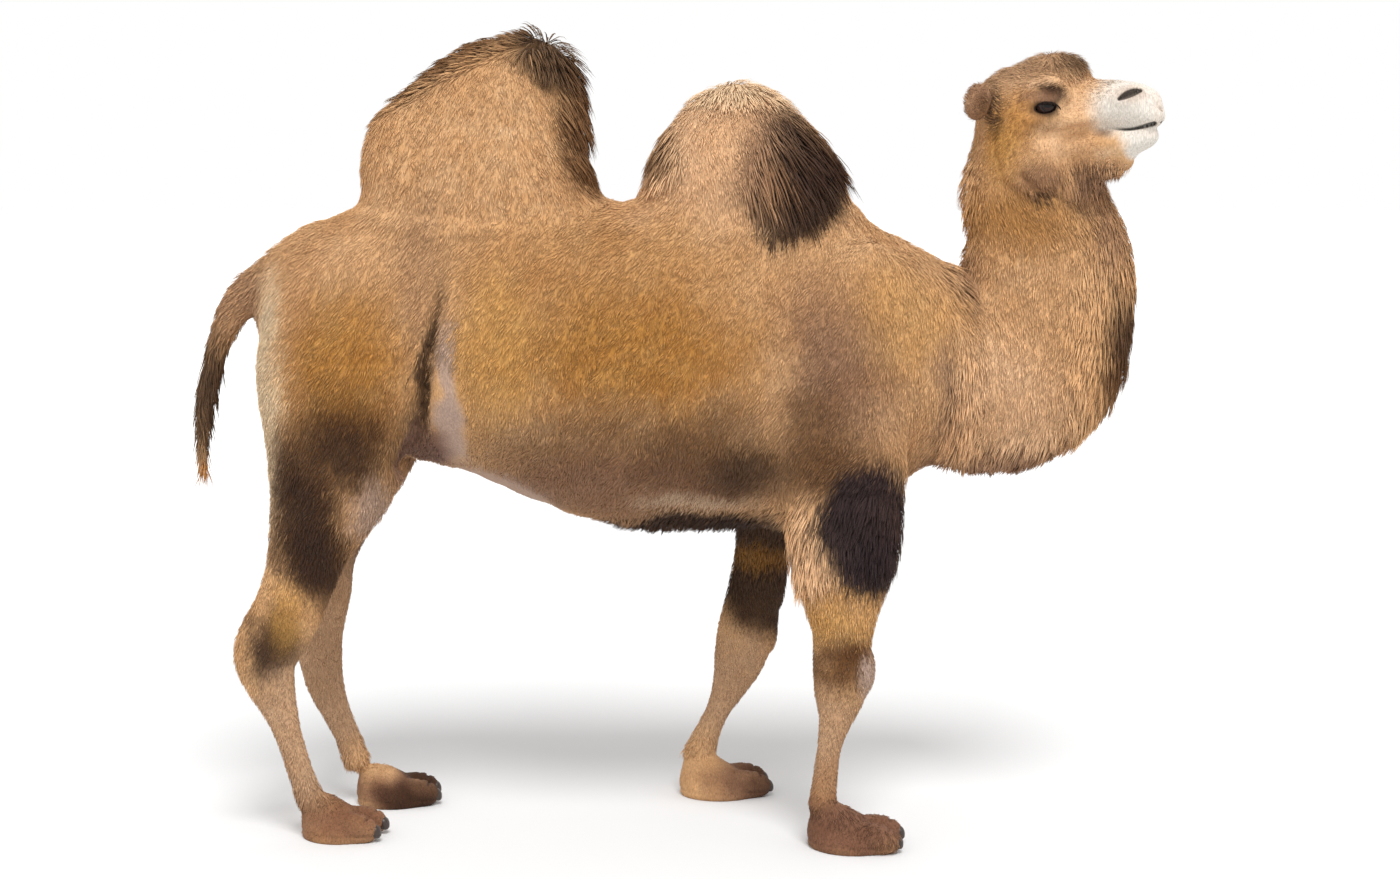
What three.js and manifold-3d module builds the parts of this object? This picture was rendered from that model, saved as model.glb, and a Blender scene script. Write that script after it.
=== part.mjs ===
// A standing two-humped (Bactrian) camel at life size, as a set of fitted solids.
// Millimetres, +X towards the nose, +Y the animal's left, +Z up, soles on z = 0.
//
// The body is a field of smoothly joined forms: ellipsoids ("balls") and tapering chains ("limbs").
// Each piece is a closed mesh whose rings are sent out from a spine to the surface of that field.
// Neighbours share a flat ring, or are parted by a thin cut.

import * as THREE from "three";
import { mergeVertices } from "three/addons/utils/BufferGeometryUtils.js";
import Module from "manifold-3d";

const wasm = await Module();
wasm.setup();

// ---- Driving dimensions ------------------------------------------------------------------------

const GAP = 0.3; // clearance between touching pieces
const ORIGIN = [-23.5, 2.5, 0]; // the floor point below the middle of the outline, in the forms' frame

const HUMP_BASE = 1700; // height of the flat joint between trunk and humps
const SADDLE = -158; // where the saddle parts the two humps
const NECK_BASE = 640; // where the trunk ends and the neck begins

const STIFLE_CUT = 905; // thigh to shank
const HOCK_CUT = 575; // shank to hind cannon, just above the hock
const ELBOW_CUT = 825; // shoulder to forearm, just under the belly
const KNEE_CUT = 565; // forearm to fore cannon, just above the knee
const FETLOCK_CUT = 118; // cannon to foot

const EYE_RADIUS = 30;
const EYE_AT = [162, -67, 14]; // right eye in the head's frame
const EAR_SIZE = [46, 15, 60]; // half width, half thickness, half height
const EAR_HOLLOW = 17; // depth of the cup in the ear's open face
const EAR_AT = [-8, -96, 20];
const NAIL_SIZE = [15, 17, 18];

// The head's own frame: x to the nose, z up, turned a little towards the animal's right.
const HEAD = placement([838, 0, 1958], { pitch: 2, yaw: -16 });
const HEAD_PIVOT = [366, 0, -254]; // under the beard: the head's rings fan about this line
const HEAD_SPOKE = 255; // from that line to the middle of each ring
const HEAD_PARTING = -21; // lean of the flat joint between head and neck, degrees
const FACE_LEAN = -88; // lean of the last fanned ring

// ---- Coat colours ------------------------------------------------------------------------------

const TAN = "#a97b4a";
const SAND = "#c39a69";
const BROWN = "#6d4a2e";
const DARK = "#3d2a1f";
const PALE = "#b9a68c";
const HORN = "#2c2320";
const EYE = "#1c120c";

// ---- Forms -------------------------------------------------------------------------------------

function placement(at, { pitch = 0, yaw = 0, roll = 0 } = {}) {
  const turn = [roll, -pitch, yaw].map(THREE.MathUtils.degToRad);
  return new THREE.Matrix4()
    .makeRotationFromEuler(new THREE.Euler(...turn, "ZYX"))
    .setPosition(...at);
}

function smoothMin(a, b, blend) {
  const overlap = Math.max(blend - Math.abs(a - b), 0) / blend;
  return Math.min(a, b) - overlap * overlap * blend * 0.25;
}

// Distance to an ellipse or ellipsoid, from the point's coordinates and the radii.
const CENTRE = 1e-6;
function roundDistance(coordinates, radii) {
  let near = 0;
  let slope = 0;
  coordinates.forEach((value, axis) => {
    near += (value / radii[axis]) ** 2;
    slope += (value / radii[axis] ** 2) ** 2;
  });
  near = Math.sqrt(near);
  if (near < CENTRE) return -Math.min(...radii);
  return (near * (near - 1)) / Math.sqrt(slope);
}

// Moves a point into the form's own frame. A paired form is given for the right side.
function intoFrame(point, inverse, both) {
  const local = point.clone().applyMatrix4(inverse);
  if (both) local.y = -Math.abs(local.y);
  return local;
}

const forms = [];

function addForm(name, part, blend, boxCentre, extent, distance) {
  forms.push({ name, part, blend, middle: boxCentre, extent, distance });
}

function ball(name, part, at, radii, { blend = 60, both = false, frame = null, ...turn } = {}) {
  const outer = (frame ?? new THREE.Matrix4()).clone().invert();
  const inner = placement(at, turn).invert();
  const middle = new THREE.Vector3(at[0], both ? 0 : at[1], at[2]);
  if (frame) middle.applyMatrix4(frame);
  const extent = Math.max(...radii) + (both ? Math.abs(at[1]) : 0);
  addForm(name, part, blend, middle, extent, (point) => {
    const local = intoFrame(point, outer, both).applyMatrix4(inner);
    return roundDistance(local.toArray(), radii);
  });
}

// Catmull-Rom through rows of numbers, in PER_SPAN steps from each row to the next.
const PER_SPAN = 3;
function smoothRows(rows) {
  const last = rows.length - 1;
  const smooth = [];
  for (let step = 0; step < last * PER_SPAN; step++) {
    const span = Math.floor(step / PER_SPAN);
    const t = step / PER_SPAN - span;
    const [a, b, c, d] = [span - 1, span, span + 1, span + 2].map((i) => rows[Math.min(Math.max(i, 0), last)]);
    const value = (k) =>
      0.5 *
      (2 * b[k] + (c[k] - a[k]) * t + (2 * a[k] - 5 * b[k] + 4 * c[k] - d[k]) * t ** 2 +
        (3 * b[k] - a[k] - 3 * c[k] + d[k]) * t ** 3);
    smooth.push(b.map((_, k) => value(k)));
  }
  smooth.push([...rows[last]]);
  return smooth;
}

// A chain of stations: x, y, z, half depth (in the XZ plane) and half width (along Y).
function limb(name, part, rows, { blend = 60, frame = null } = {}) {
  const stations = smoothRows(rows);
  const inverse = (frame ?? new THREE.Matrix4()).clone().invert();
  const box = new THREE.Box3();
  for (const [x, y, z, depth] of stations) {
    box.expandByPoint(new THREE.Vector3(x - depth, y, z - depth));
    box.expandByPoint(new THREE.Vector3(x + depth, y, z + depth));
  }
  const middle = box.getCenter(new THREE.Vector3());
  const extent = box.getSize(new THREE.Vector3()).length() / 2;
  if (frame) middle.applyMatrix4(frame);
  addForm(name, part, blend, middle, extent, (point) => {
    const local = intoFrame(point, inverse, false);
    let nearest = Infinity;
    for (let i = 1; i < stations.length; i++) {
      nearest = Math.min(nearest, linkDistance(local, stations[i - 1], stations[i]));
    }
    return nearest;
  });
}

function linkDistance(point, from, to) {
  const [dx, dy, dz] = [to[0] - from[0], to[1] - from[1], to[2] - from[2]];
  const [px, py, pz] = [point.x - from[0], point.y - from[1], point.z - from[2]];
  const along = (px * dx + py * dy + pz * dz) / (dx * dx + dy * dy + dz * dz);
  const t = Math.min(Math.max(along, 0), 1);
  const depth = from[3] + t * (to[3] - from[3]);
  const width = from[4] + t * (to[4] - from[4]);
  return roundDistance([Math.hypot(px - t * dx, pz - t * dz), py - t * dy], [depth, width]);
}

// ---- Trunk, humps, neck and tail ---------------------------------------------------------------

limb("barrel", "trunk", [
  [-1025, 0, 1480, 90, 85], // rump
  [-900, 0, 1420, 258, 205],
  [-700, 0, 1368, 340, 262], // loin
  [-450, 0, 1340, 388, 326],
  [-180, 0, 1287, 440, 352], // widest part of the belly
  [60, 0, 1280, 444, 345],
  [300, 0, 1284, 428, 305], // ribs behind the shoulder
  [500, 0, 1292, 346, 250], // withers
  [640, 0, 1296, 260, 195],
  [740, 0, 1278, 205, 165], // root of the neck
]);
ball("croup", "trunk", [-900, 0, 1505], [222, 190, 150], { pitch: 14, blend: 80 });
ball("haunch", "trunk", [-890, -150, 1290], [240, 146, 310], { pitch: -8, both: true });
ball("shoulder", "trunk", [430, -175, 1290], [185, 112, 330], { pitch: -14, both: true, blend: 80 });
ball("upper_arm", "trunk", [435, -215, 1060], [158, 100, 200], { pitch: 6, both: true });
ball("brisket", "trunk", [330, 0, 970], [230, 165, 110], { blend: 80 });
ball("chest", "trunk", [590, 0, 1175], [110, 145, 135]);

limb("rear_hump", "hump", [
  [-545, 0, 1640, 340, 235],
  [-530, 0, 1780, 290, 180],
  [-500, 0, 1900, 232, 138],
  [-450, 0, 1985, 130, 100],
], { blend: 80 });
limb("rear_crest", "hump", [
  [-768, 0, 1915, 52, 60],
  [-620, 0, 2022, 60, 66],
  [-445, 0, 2108, 74, 68],
  [-332, 0, 2062, 76, 70],
  [-312, 0, 1940, 62, 70],
], { blend: 70 });
limb("front_hump", "hump", [
  [190, 0, 1640, 302, 240],
  [166, 0, 1760, 258, 190],
  [158, 0, 1840, 204, 155],
  [156, 0, 1905, 142, 122],
  [165, 0, 1940, 102, 92],
], { blend: 80 });

limb("neck", "neck", [
  [480, 0, 1310, 255, 215],
  [690, 0, 1278, 222, 185],
  [850, 0, 1238, 262, 172], // lowest part of the mane
  [965, 0, 1292, 258, 165],
  [1003, 0, 1430, 246, 155],
  [1006, 0, 1550, 238, 144],
  [990, 0, 1640, 214, 134],
  [966, 0, 1720, 200, 126],
  [940, 0, 1800, 172, 116],
  [915, 0, 1880, 132, 104], // poll
]);

const TAIL = [
  [-985, 0, 1590, 60, 58], // root
  [-1095, 0, 1535, 56, 46],
  [-1170, 0, 1480, 58, 42],
  [-1222, 0, 1415, 50, 38],
  [-1262, 0, 1330, 37, 33],
  [-1290, 0, 1235, 32, 29],
  [-1307, 0, 1150, 28, 26],
  [-1312, 0, 1070, 22, 20],
  [-1306, 0, 1000, 15, 14],
  [-1296, 0, 950, 8, 8], // tip of the hair
];
limb("tail", "tail", TAIL, { blend: 40 });

// ---- Legs --------------------------------------------------------------------------------------

const HIND_RIGHT = [
  [-890, -175, 1250, 208, 140], // hip
  [-905, -188, 1144, 198, 125],
  [-913, -198, 1038, 184, 105], // stifle
  [-933, -203, 957, 158, 90],
  [-960, -205, 890, 134, 78],
  [-986, -205, 815, 112, 64],
  [-1014, -203, 720, 100, 52], // thin of the shank
  [-1052, -200, 625, 98, 46],
  [-1096, -198, 550, 97, 46],
  [-1114, -196, 500, 88, 47], // hock
  [-1104, -193, 440, 74, 42],
  [-1086, -188, 380, 58, 37],
  [-1060, -180, 290, 42, 34], // cannon
  [-1030, -174, 185, 38, 36],
  [-1006, -170, 110, 40, 42], // fetlock
];
const HIND_LEFT = [
  [-880, 175, 1250, 195, 140],
  [-890, 188, 1144, 180, 125],
  [-905, 198, 1038, 160, 105],
  [-925, 200, 957, 130, 90],
  [-950, 200, 880, 104, 76],
  [-978, 198, 800, 88, 62],
  [-1003, 195, 706, 76, 50],
  [-1022, 190, 625, 86, 46],
  [-1036, 186, 550, 84, 46],
  [-1042, 182, 495, 80, 46],
  [-1034, 178, 430, 69, 41],
  [-1021, 174, 350, 60, 37],
  [-994, 170, 276, 48, 35],
  [-960, 167, 200, 41, 36],
  [-934, 165, 130, 42, 42],
];
const FORE_RIGHT = [
  [435, -225, 1000, 165, 100], // elbow
  [438, -240, 900, 155, 98],
  [444, -246, 800, 138, 92], // long hair of the forearm
  [434, -250, 690, 112, 78],
  [434, -252, 590, 86, 62],
  [434, -252, 500, 84, 60], // knee
  [430, -252, 430, 76, 58],
  [420, -253, 360, 54, 44],
  [402, -254, 280, 38, 36], // cannon
  [390, -255, 190, 38, 38],
  [384, -256, 120, 42, 46], // fetlock
];
const FORE_LEFT = [
  [330, 225, 1000, 135, 100],
  [285, 238, 900, 104, 86],
  [246, 244, 808, 86, 74],
  [235, 248, 710, 82, 68],
  [216, 250, 590, 86, 62],
  [188, 252, 490, 86, 60],
  [172, 254, 410, 80, 58],
  [145, 256, 330, 58, 44],
  [108, 258, 250, 40, 36],
  [76, 260, 180, 42, 38],
  [52, 262, 115, 50, 46],
];
limb("hind_leg_right", "leg", HIND_RIGHT, { blend: 45 });
limb("hind_leg_left", "leg", HIND_LEFT, { blend: 45 });
limb("fore_leg_right", "leg", FORE_RIGHT, { blend: 45 });
limb("fore_leg_left", "leg", FORE_LEFT, { blend: 45 });

// Each foot: a broad pad with a heel, an instep and two spread toes.
const FEET = {
  hind_right: { heel: -1036, toe: -800, y: -168, half: 86, splay: -8 },
  hind_left: { heel: -936, toe: -690, y: 165, half: 86, splay: 8 },
  fore_right: { heel: 338, toe: 604, y: -257, half: 98, splay: -8 },
  fore_left: { heel: -10, toe: 266, y: 262, half: 98, splay: 8 },
};
const TOES = { inner: 1, outer: -1 };

// A point of the foot, from fractions of its length and half width, turned out by its splay.
function onFoot({ heel, toe, y, half, splay }, forward, aside, height) {
  const length = toe - heel;
  const turn = THREE.MathUtils.degToRad(splay);
  const [ahead, beside] = [forward * length, aside * half];
  return [
    (heel + toe) / 2 + ahead * Math.cos(turn) - beside * Math.sin(turn),
    y + ahead * Math.sin(turn) + beside * Math.cos(turn),
    height,
  ];
}

function addFoot(foot) {
  const { heel, toe, half, splay } = foot;
  const length = toe - heel;
  const sized = (l, w, h) => [l * length, w * half, h];
  ball("pad", "foot", onFoot(foot, -0.04, 0, 8), sized(0.42, 1, 56), { yaw: splay, blend: 30 });
  ball("heel", "foot", onFoot(foot, -0.25, 0, 45), sized(0.24, 0.62, 62), { yaw: splay, blend: 30 });
  for (const side of Object.values(TOES)) {
    const turned = { yaw: splay + side * 3, pitch: -4, blend: 14 };
    ball("toe", "foot", onFoot(foot, 0.22, side * 0.46, 34), sized(0.26, 0.45, 44), turned);
  }
  ball("instep", "foot", onFoot(foot, -0.12, 0, 60), sized(0.28, 0.6, 44), { pitch: -16, yaw: splay, blend: 34 });
}
Object.values(FEET).forEach(addFoot);

// ---- Head --------------------------------------------------------------------------------------

const headBall = (name, at, radii, rest) => ball(name, "head", at, radii, { frame: HEAD, ...rest });

headBall("cranium", [82, 0, 38], [122, 90, 88], { pitch: 6 });
headBall("topknot", [162, 0, 92], [92, 62, 62], { pitch: 2, blend: 50 });
headBall("brow", [168, -70, 48], [56, 32, 36], { both: true, blend: 34 });
limb("face", "head", [
  [110, 0, -5, 98, 84],
  [210, 0, 2, 78, 68],
  [300, 0, 10, 66, 60], // bridge of the nose
  [370, 0, 6, 62, 58],
  [408, 0, 0, 52, 54], // nostrils
], { blend: 36, frame: HEAD });
headBall("nose", [404, 0, -2], [50, 58, 62], { blend: 30, pitch: -14 });
headBall("upper_lip", [420, -23, -32], [36, 33, 34], { both: true, blend: 20 });
limb("jaw", "head", [
  [70, 0, -95, 80, 60], // angle of the jaw
  [160, 0, -104, 68, 50],
  [255, 0, -98, 48, 45],
  [335, 0, -88, 36, 43],
  [384, 0, -86, 32, 42], // lower lip
], { blend: 24, frame: HEAD });
headBall("cheek", [95, -50, -80], [92, 36, 92], { both: true, blend: 50 });
headBall("beard", [235, 0, -168], [84, 38, 58], { pitch: -20, blend: 40 });
headBall("throat", [105, 0, -190], [95, 72, 70]);

// ---- Fields ------------------------------------------------------------------------------------

function fieldOf(parts) {
  const members = forms.filter((form) => parts.includes(form.part));
  return (point) => {
    let distance = 1e4;
    for (const form of members) {
      const lowest = point.distanceTo(form.middle) - form.extent;
      if (lowest > distance + form.blend) continue;
      distance = smoothMin(distance, form.distance(point), form.blend);
    }
    return distance;
  };
}

// Keeps a field inside a span of x, and of y where one is given.
function within(field, [lowX, highX], [lowY, highY] = [-Infinity, Infinity]) {
  return (point) =>
    Math.max(field(point), lowX - point.x, point.x - highX, lowY - point.y, point.y - highY);
}

const grown = (field, by) => (point) => field(point) - by;

const body = fieldOf(["trunk", "hump", "neck", "tail", "leg", "foot", "head"]);
const headAndNeck = fieldOf(["neck", "head", "trunk"]);
const trunkField = fieldOf(["trunk", "hump", "neck"]);

// ---- Rings and lofts ---------------------------------------------------------------------------

// A ring lies in a plane that holds the sideways axis. Its first spoke leans from +X by "lean"
// degrees in the XZ plane, and "fan" tips all spokes along the spine, to close a round end.
function ring(at, lean, { fan = 0, frame = new THREE.Matrix4(), shift = 0 } = {}) {
  const tilt = THREE.MathUtils.degToRad(lean);
  const first = new THREE.Vector3(Math.cos(tilt), 0, Math.sin(tilt)).transformDirection(frame);
  const side = new THREE.Vector3(0, -1, 0).transformDirection(frame);
  const along = new THREE.Vector3(-Math.sin(tilt), 0, Math.cos(tilt)).transformDirection(frame);
  const middle = new THREE.Vector3(...at).applyMatrix4(frame).addScaledVector(along, shift);
  return { middle, first, side, along, fan: THREE.MathUtils.degToRad(fan) };
}

function spoke({ first, side, along, fan }, angle) {
  return new THREE.Vector3()
    .addScaledVector(first, Math.cos(angle) * Math.cos(fan))
    .addScaledVector(side, Math.sin(angle) * Math.cos(fan))
    .addScaledVector(along, Math.sin(fan));
}

// The point where a ray from inside the field first leaves it.
const SHORTEST_STEP = 3;
const HALVINGS = 16;
function surfacePoint(field, from, direction) {
  const at = (distance) => from.clone().addScaledVector(direction, distance);
  let inside = 0;
  let outside = 0;
  for (let depth = field(from); depth < 0; depth = field(at(outside))) {
    inside = outside;
    outside += Math.max(-depth * 0.8, SHORTEST_STEP);
  }
  for (let i = 0; i < HALVINGS; i++) {
    const middle = (inside + outside) / 2;
    if (field(at(middle)) < 0) inside = middle;
    else outside = middle;
  }
  return at(inside);
}

function endPoint(field, end, sign) {
  if (end.fan === 0) return end.middle;
  return surfacePoint(field, end.middle, end.along.clone().multiplyScalar(sign));
}

// A sphere's rows become the rings of a spine, and its poles close the two ends.
function loft(field, rings, around) {
  const geometry = new THREE.SphereGeometry(1, around, rings.length + 1);
  const position = geometry.attributes.position;
  const poles = [endPoint(field, rings[0], -1), endPoint(field, rings.at(-1), 1)];
  for (let index = 0; index < position.count; index++) {
    const row = Math.floor(index / (around + 1));
    const angle = ((index % (around + 1)) / around) * 2 * Math.PI;
    const isPole = row === 0 || row > rings.length;
    const target = isPole
      ? poles[row === 0 ? 0 : 1]
      : surfacePoint(field, rings[row - 1].middle, spoke(rings[row - 1], angle));
    position.setXYZ(index, ...target);
  }
  return toSolid(geometry);
}

const lerp = THREE.MathUtils.lerp;
const spread = (count, from, to) => Array.from({ length: count }, (_, i) => lerp(from, to, i / (count - 1)));

// ---- Solids ------------------------------------------------------------------------------------

function toSolid(geometry) {
  geometry.deleteAttribute("normal");
  geometry.deleteAttribute("uv");
  const merged = mergeVertices(geometry, 1e-3);
  const vertProperties = new Float32Array(merged.attributes.position.array);
  const triVerts = new Uint32Array(merged.index.array);
  return new wasm.Manifold(new wasm.Mesh({ numProp: 3, vertProperties, triVerts }));
}

function toGeometry(solid) {
  const mesh = solid.getMesh();
  const geometry = new THREE.BufferGeometry();
  geometry.setAttribute("position", new THREE.BufferAttribute(mesh.vertProperties, 3));
  geometry.setIndex(new THREE.BufferAttribute(mesh.triVerts, 1));
  return geometry;
}

const camel = new THREE.Group();
camel.position.set(...ORIGIN).negate();

function addPiece(name, solid, color, { roughness = 0.9, metalness = 0 } = {}) {
  const material = new THREE.MeshStandardMaterial({ color, roughness, metalness });
  const mesh = new THREE.Mesh(toGeometry(solid), material);
  mesh.name = name;
  camel.add(mesh);
}

// The two sides of the body: the sign of their y.
const SIDES = { right: -1, left: 1 };

// ---- Trunk and the limb roots let into it ------------------------------------------------------

// The outline of a limb's root seen from the side: upright edges under a half-ellipse arch.
const LIMB_ROOTS = {
  thigh_right: { back: -1260, front: -640, spring: 1130, top: 1460, inner: 55, side: -1 },
  thigh_left: { back: -1260, front: -650, spring: 1130, top: 1460, inner: 55, side: 1 },
  shoulder_right: { back: 235, front: 628, spring: 1150, top: 1545, inner: 122, side: -1 },
  shoulder_left: { back: 150, front: 610, spring: 1150, top: 1545, inner: 122, side: 1 },
};
const ROOT_REACH = 500; // how far the cut runs out past the flank
const ARCH_SEGMENTS = 12;
const SLAB_SIZE = 4000;

function rootCutter({ back, front, spring, top, inner, side }, grow) {
  const [low, high] = [back - grow, front + grow];
  const arch = new THREE.Shape();
  arch.moveTo(low, 0);
  arch.absellipse((low + high) / 2, spring, (high - low) / 2, top - spring + grow, Math.PI, 0, true);
  arch.lineTo(high, 0);
  const options = { depth: ROOT_REACH, bevelEnabled: false, curveSegments: ARCH_SEGMENTS };
  const geometry = new THREE.ExtrudeGeometry(arch, options);
  geometry.rotateX(Math.PI / 2);
  geometry.translate(0, side < 0 ? grow - inner : inner - grow + ROOT_REACH, 0);
  return toSolid(geometry);
}

function trunkRings() {
  const rump = [-78, -56, -38, -20].map((fan) => ring([-900, 0, 1390], -90, { fan }));
  const rear = spread(6, -900, -570).map((x) => ring([x, 0, 1380], -90));
  const barrel = spread(8, -500, 60).map((x) => ring([x, 0, 1300], -90));
  const chest = spread(8, 130, NECK_BASE).map((x) => ring([x, 0, 1300], -90));
  return [...rump, ...rear, ...barrel, ...chest];
}

// The slab above the trunk that makes way for the humps.
function humpSlab() {
  const geometry = new THREE.BoxGeometry(SLAB_SIZE, SLAB_SIZE, SLAB_SIZE);
  geometry.translate(0, 0, HUMP_BASE + SLAB_SIZE / 2);
  return toSolid(geometry);
}

function addTrunk() {
  let trunk = loft(trunkField, trunkRings(), 28).subtract(humpSlab());
  for (const root of Object.values(LIMB_ROOTS)) trunk = trunk.subtract(rootCutter(root, GAP));
  addPiece("trunk", trunk, TAN);
}

// ---- Humps -------------------------------------------------------------------------------------

function humpRings(x, top, crest) {
  const base = HUMP_BASE + GAP;
  const sides = spread(6, base, top).map((z) => ring([lerp(x, crest, (z - base) / (top - base)), 0, z], 0));
  const cap = [18, 38, 60, 78].map((fan) => ring([crest, 0, top], 0, { fan }));
  return [...sides, ...cap];
}

function addHumps() {
  const rear = within(body, [-Infinity, SADDLE - GAP]);
  const front = within(body, [SADDLE, Infinity]);
  addPiece("hump_rear", loft(rear, humpRings(-530, 1985, -480), 22), SAND);
  addPiece("hump_front", loft(front, humpRings(165, 1890, 160), 22), SAND);
}

// ---- Neck and head -----------------------------------------------------------------------------

// The fan of rings from the neck joint round to the face, about the line under the beard.
function headFanRing(lean, shift = 0) {
  const tilt = THREE.MathUtils.degToRad(lean);
  const x = HEAD_PIVOT[0] - HEAD_SPOKE * Math.cos(tilt);
  const z = HEAD_PIVOT[2] - HEAD_SPOKE * Math.sin(tilt);
  return ring([x, 0, z], lean, { frame: HEAD, shift });
}

const NECK_BEND = [738, 1592]; // above the dip of the nape: the lower neck's rings fan about it
const THROAT_SPOKES = { "-80": 290, "-66": 315, "-52": 335, "-39": 325, "-27": 300, "-16": 275, "-7": 255 };

function bendRing(lean, spokeLength) {
  const tilt = THREE.MathUtils.degToRad(lean);
  const at = [NECK_BEND[0] + spokeLength * Math.cos(tilt), 0, NECK_BEND[1] + spokeLength * Math.sin(tilt)];
  return ring(at, lean);
}

const NECK_PARTING = [985, 0, 1592];

function addNeck() {
  const bend = Object.entries(THROAT_SPOKES).map(([lean, length]) => bendRing(Number(lean), length));
  const base = ring([NECK_BASE, 0, 1300], -90, { shift: GAP });
  const lower = [base, ring([700, 0, 1300], -88), ...bend, ring(NECK_PARTING, 0, { shift: -GAP })];
  addPiece("neck_lower", loft(body, lower, 24), BROWN);
  const upper = [
    ring(NECK_PARTING, 0),
    ring([980, 0, 1640], -3),
    ring([970, 0, 1695], -8),
    ring([962, -12, 1750], -14),
    headFanRing(HEAD_PARTING, -GAP),
  ];
  addPiece("neck_upper", loft(body, upper, 24), TAN);
}

function headRings() {
  const fan = spread(12, HEAD_PARTING, FACE_LEAN).map((lean) => headFanRing(lean));
  const muzzle = [376, 396].map((x) => ring([x, 0, -16], FACE_LEAN, { frame: HEAD }));
  const tip = [20, 40, 60, 78].map((angle) => ring([402, 0, -22], FACE_LEAN, { frame: HEAD, fan: angle }));
  return [...fan, ...muzzle, ...tip];
}

// What the lower jaw takes: all below the lips, and back under the cheek to the jaw's angle.
function jawCutter(grow) {
  const outline = new THREE.Shape();
  outline.moveTo(520, -58 + grow);
  outline.quadraticCurveTo(400, -72 + grow, 331 - grow, -58 + grow);
  outline.lineTo(290 - grow, -96 + grow);
  outline.quadraticCurveTo(200, -120 + grow, 120 - grow, -190 + grow);
  outline.lineTo(150 - grow, -400);
  outline.lineTo(520, -400);
  const geometry = new THREE.ExtrudeGeometry(outline, { depth: 400, bevelEnabled: false, curveSegments: 5 });
  geometry.rotateX(Math.PI / 2);
  geometry.translate(0, 200, 0);
  return toSolid(geometry.applyMatrix4(HEAD));
}

function eyeball(side, grow) {
  const geometry = new THREE.SphereGeometry(EYE_RADIUS + grow, 10, 7);
  geometry.translate(EYE_AT[0], -side * EYE_AT[1], EYE_AT[2]);
  return toSolid(geometry.applyMatrix4(HEAD));
}

// A leaf with a cupped open face, standing out and back from the side of the head.
function earLeaf(side) {
  const geometry = new THREE.SphereGeometry(1, 10, 7);
  const position = geometry.attributes.position;
  for (let i = 0; i < position.count; i++) {
    const [x, y, z] = [position.getX(i), position.getZ(i), position.getY(i)];
    const cup = y > 0 ? EAR_HOLLOW * Math.max(1 - x * x - z * z, 0) : 0;
    position.setXYZ(i, x * EAR_SIZE[0], y * EAR_SIZE[1] - cup, z * EAR_SIZE[2]);
  }
  geometry.index.array.reverse();
  const turn = placement([EAR_AT[0], EAR_AT[1], EAR_AT[2]], { pitch: 18, yaw: 200, roll: 8 });
  geometry.applyMatrix4(turn);
  if (side > 0) {
    geometry.scale(1, -1, 1);
    geometry.index.array.reverse();
  }
  return toSolid(geometry.applyMatrix4(HEAD));
}

function addHead() {
  const whole = loft(headAndNeck, headRings(), 22);
  let head = whole.subtract(jawCutter(GAP));
  const clear = loft(grown(headAndNeck, 2 * GAP), headRings(), 22);
  for (const [name, side] of Object.entries(SIDES)) {
    head = head.subtract(eyeball(side, GAP));
    addPiece(`eye_${name}`, eyeball(side, 0), EYE, { roughness: 0.1 });
    addPiece(`ear_${name}`, earLeaf(side).subtract(clear), BROWN);
  }
  addPiece("head", head, TAN);
  addPiece("lower_jaw", whole.intersect(jawCutter(0)), BROWN);
}

// ---- Legs --------------------------------------------------------------------------------------

// The middle of a leg at a height, from its stations.
function middleAt(rows, height) {
  const stations = smoothRows(rows);
  const next = stations.findIndex((row) => row[2] < height);
  if (next <= 0) return next === 0 ? stations[0].slice(0, 2) : stations.at(-1).slice(0, 2);
  const [above, below] = [stations[next - 1], stations[next]];
  const t = (above[2] - height) / (above[2] - below[2]);
  return [lerp(above[0], below[0], t), lerp(above[1], below[1], t)];
}

const legRings = (rows, heights) => heights.map((z) => ring([...middleAt(rows, z), z], 0));

// A piece of a leg kept inside the column that is cut out of the trunk for it.
const MARGIN = 20; // how far the piece runs past the cut before it is trimmed
function addRootPiece(name, root, rows, heights, around, color) {
  const acrossBody = [root.inner - MARGIN, Infinity].map((y) => y * root.side).sort((a, b) => a - b);
  const field = within(body, [root.back - MARGIN, root.front + MARGIN], acrossBody);
  addPiece(name, loft(field, legRings(rows, heights), around).intersect(rootCutter(root, 0)), color);
}

function addLegPiece(name, rows, low, high, rings, color) {
  addPiece(name, loft(body, legRings(rows, spread(rings, low, high)), 12), color);
}

const NAIL_HEIGHT = 30;

function nail(foot, side, grow) {
  const geometry = new THREE.SphereGeometry(1, 6, 5);
  const [x, y, z] = NAIL_SIZE;
  geometry.scale(x + grow, y + grow, z + grow);
  const turn = placement(onFoot(foot, 0.44, side * 0.46, NAIL_HEIGHT), { yaw: foot.splay + side * 3 });
  return toSolid(geometry.applyMatrix4(turn));
}

function addFootPiece(name, rows, foot) {
  const heights = [0, 14, 34, 54, 72, FETLOCK_CUT - GAP];
  const [ankleX, ankleY] = middleAt(rows, FETLOCK_CUT);
  const [padX, padY] = onFoot(foot, -0.02, 0, 0);
  const rings = heights.map((z) => {
    const t = THREE.MathUtils.smoothstep(z, 40, FETLOCK_CUT);
    return ring([lerp(padX, ankleX, t), lerp(padY, ankleY, t), z], 0);
  });
  let solid = loft(body, rings, 18);
  for (const [toe, side] of Object.entries(TOES)) {
    solid = solid.subtract(nail(foot, side, GAP));
    addPiece(`${name}_nail_${toe}`, nail(foot, side, 0), HORN, { roughness: 0.5 });
  }
  addPiece(name, solid, BROWN);
}

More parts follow.
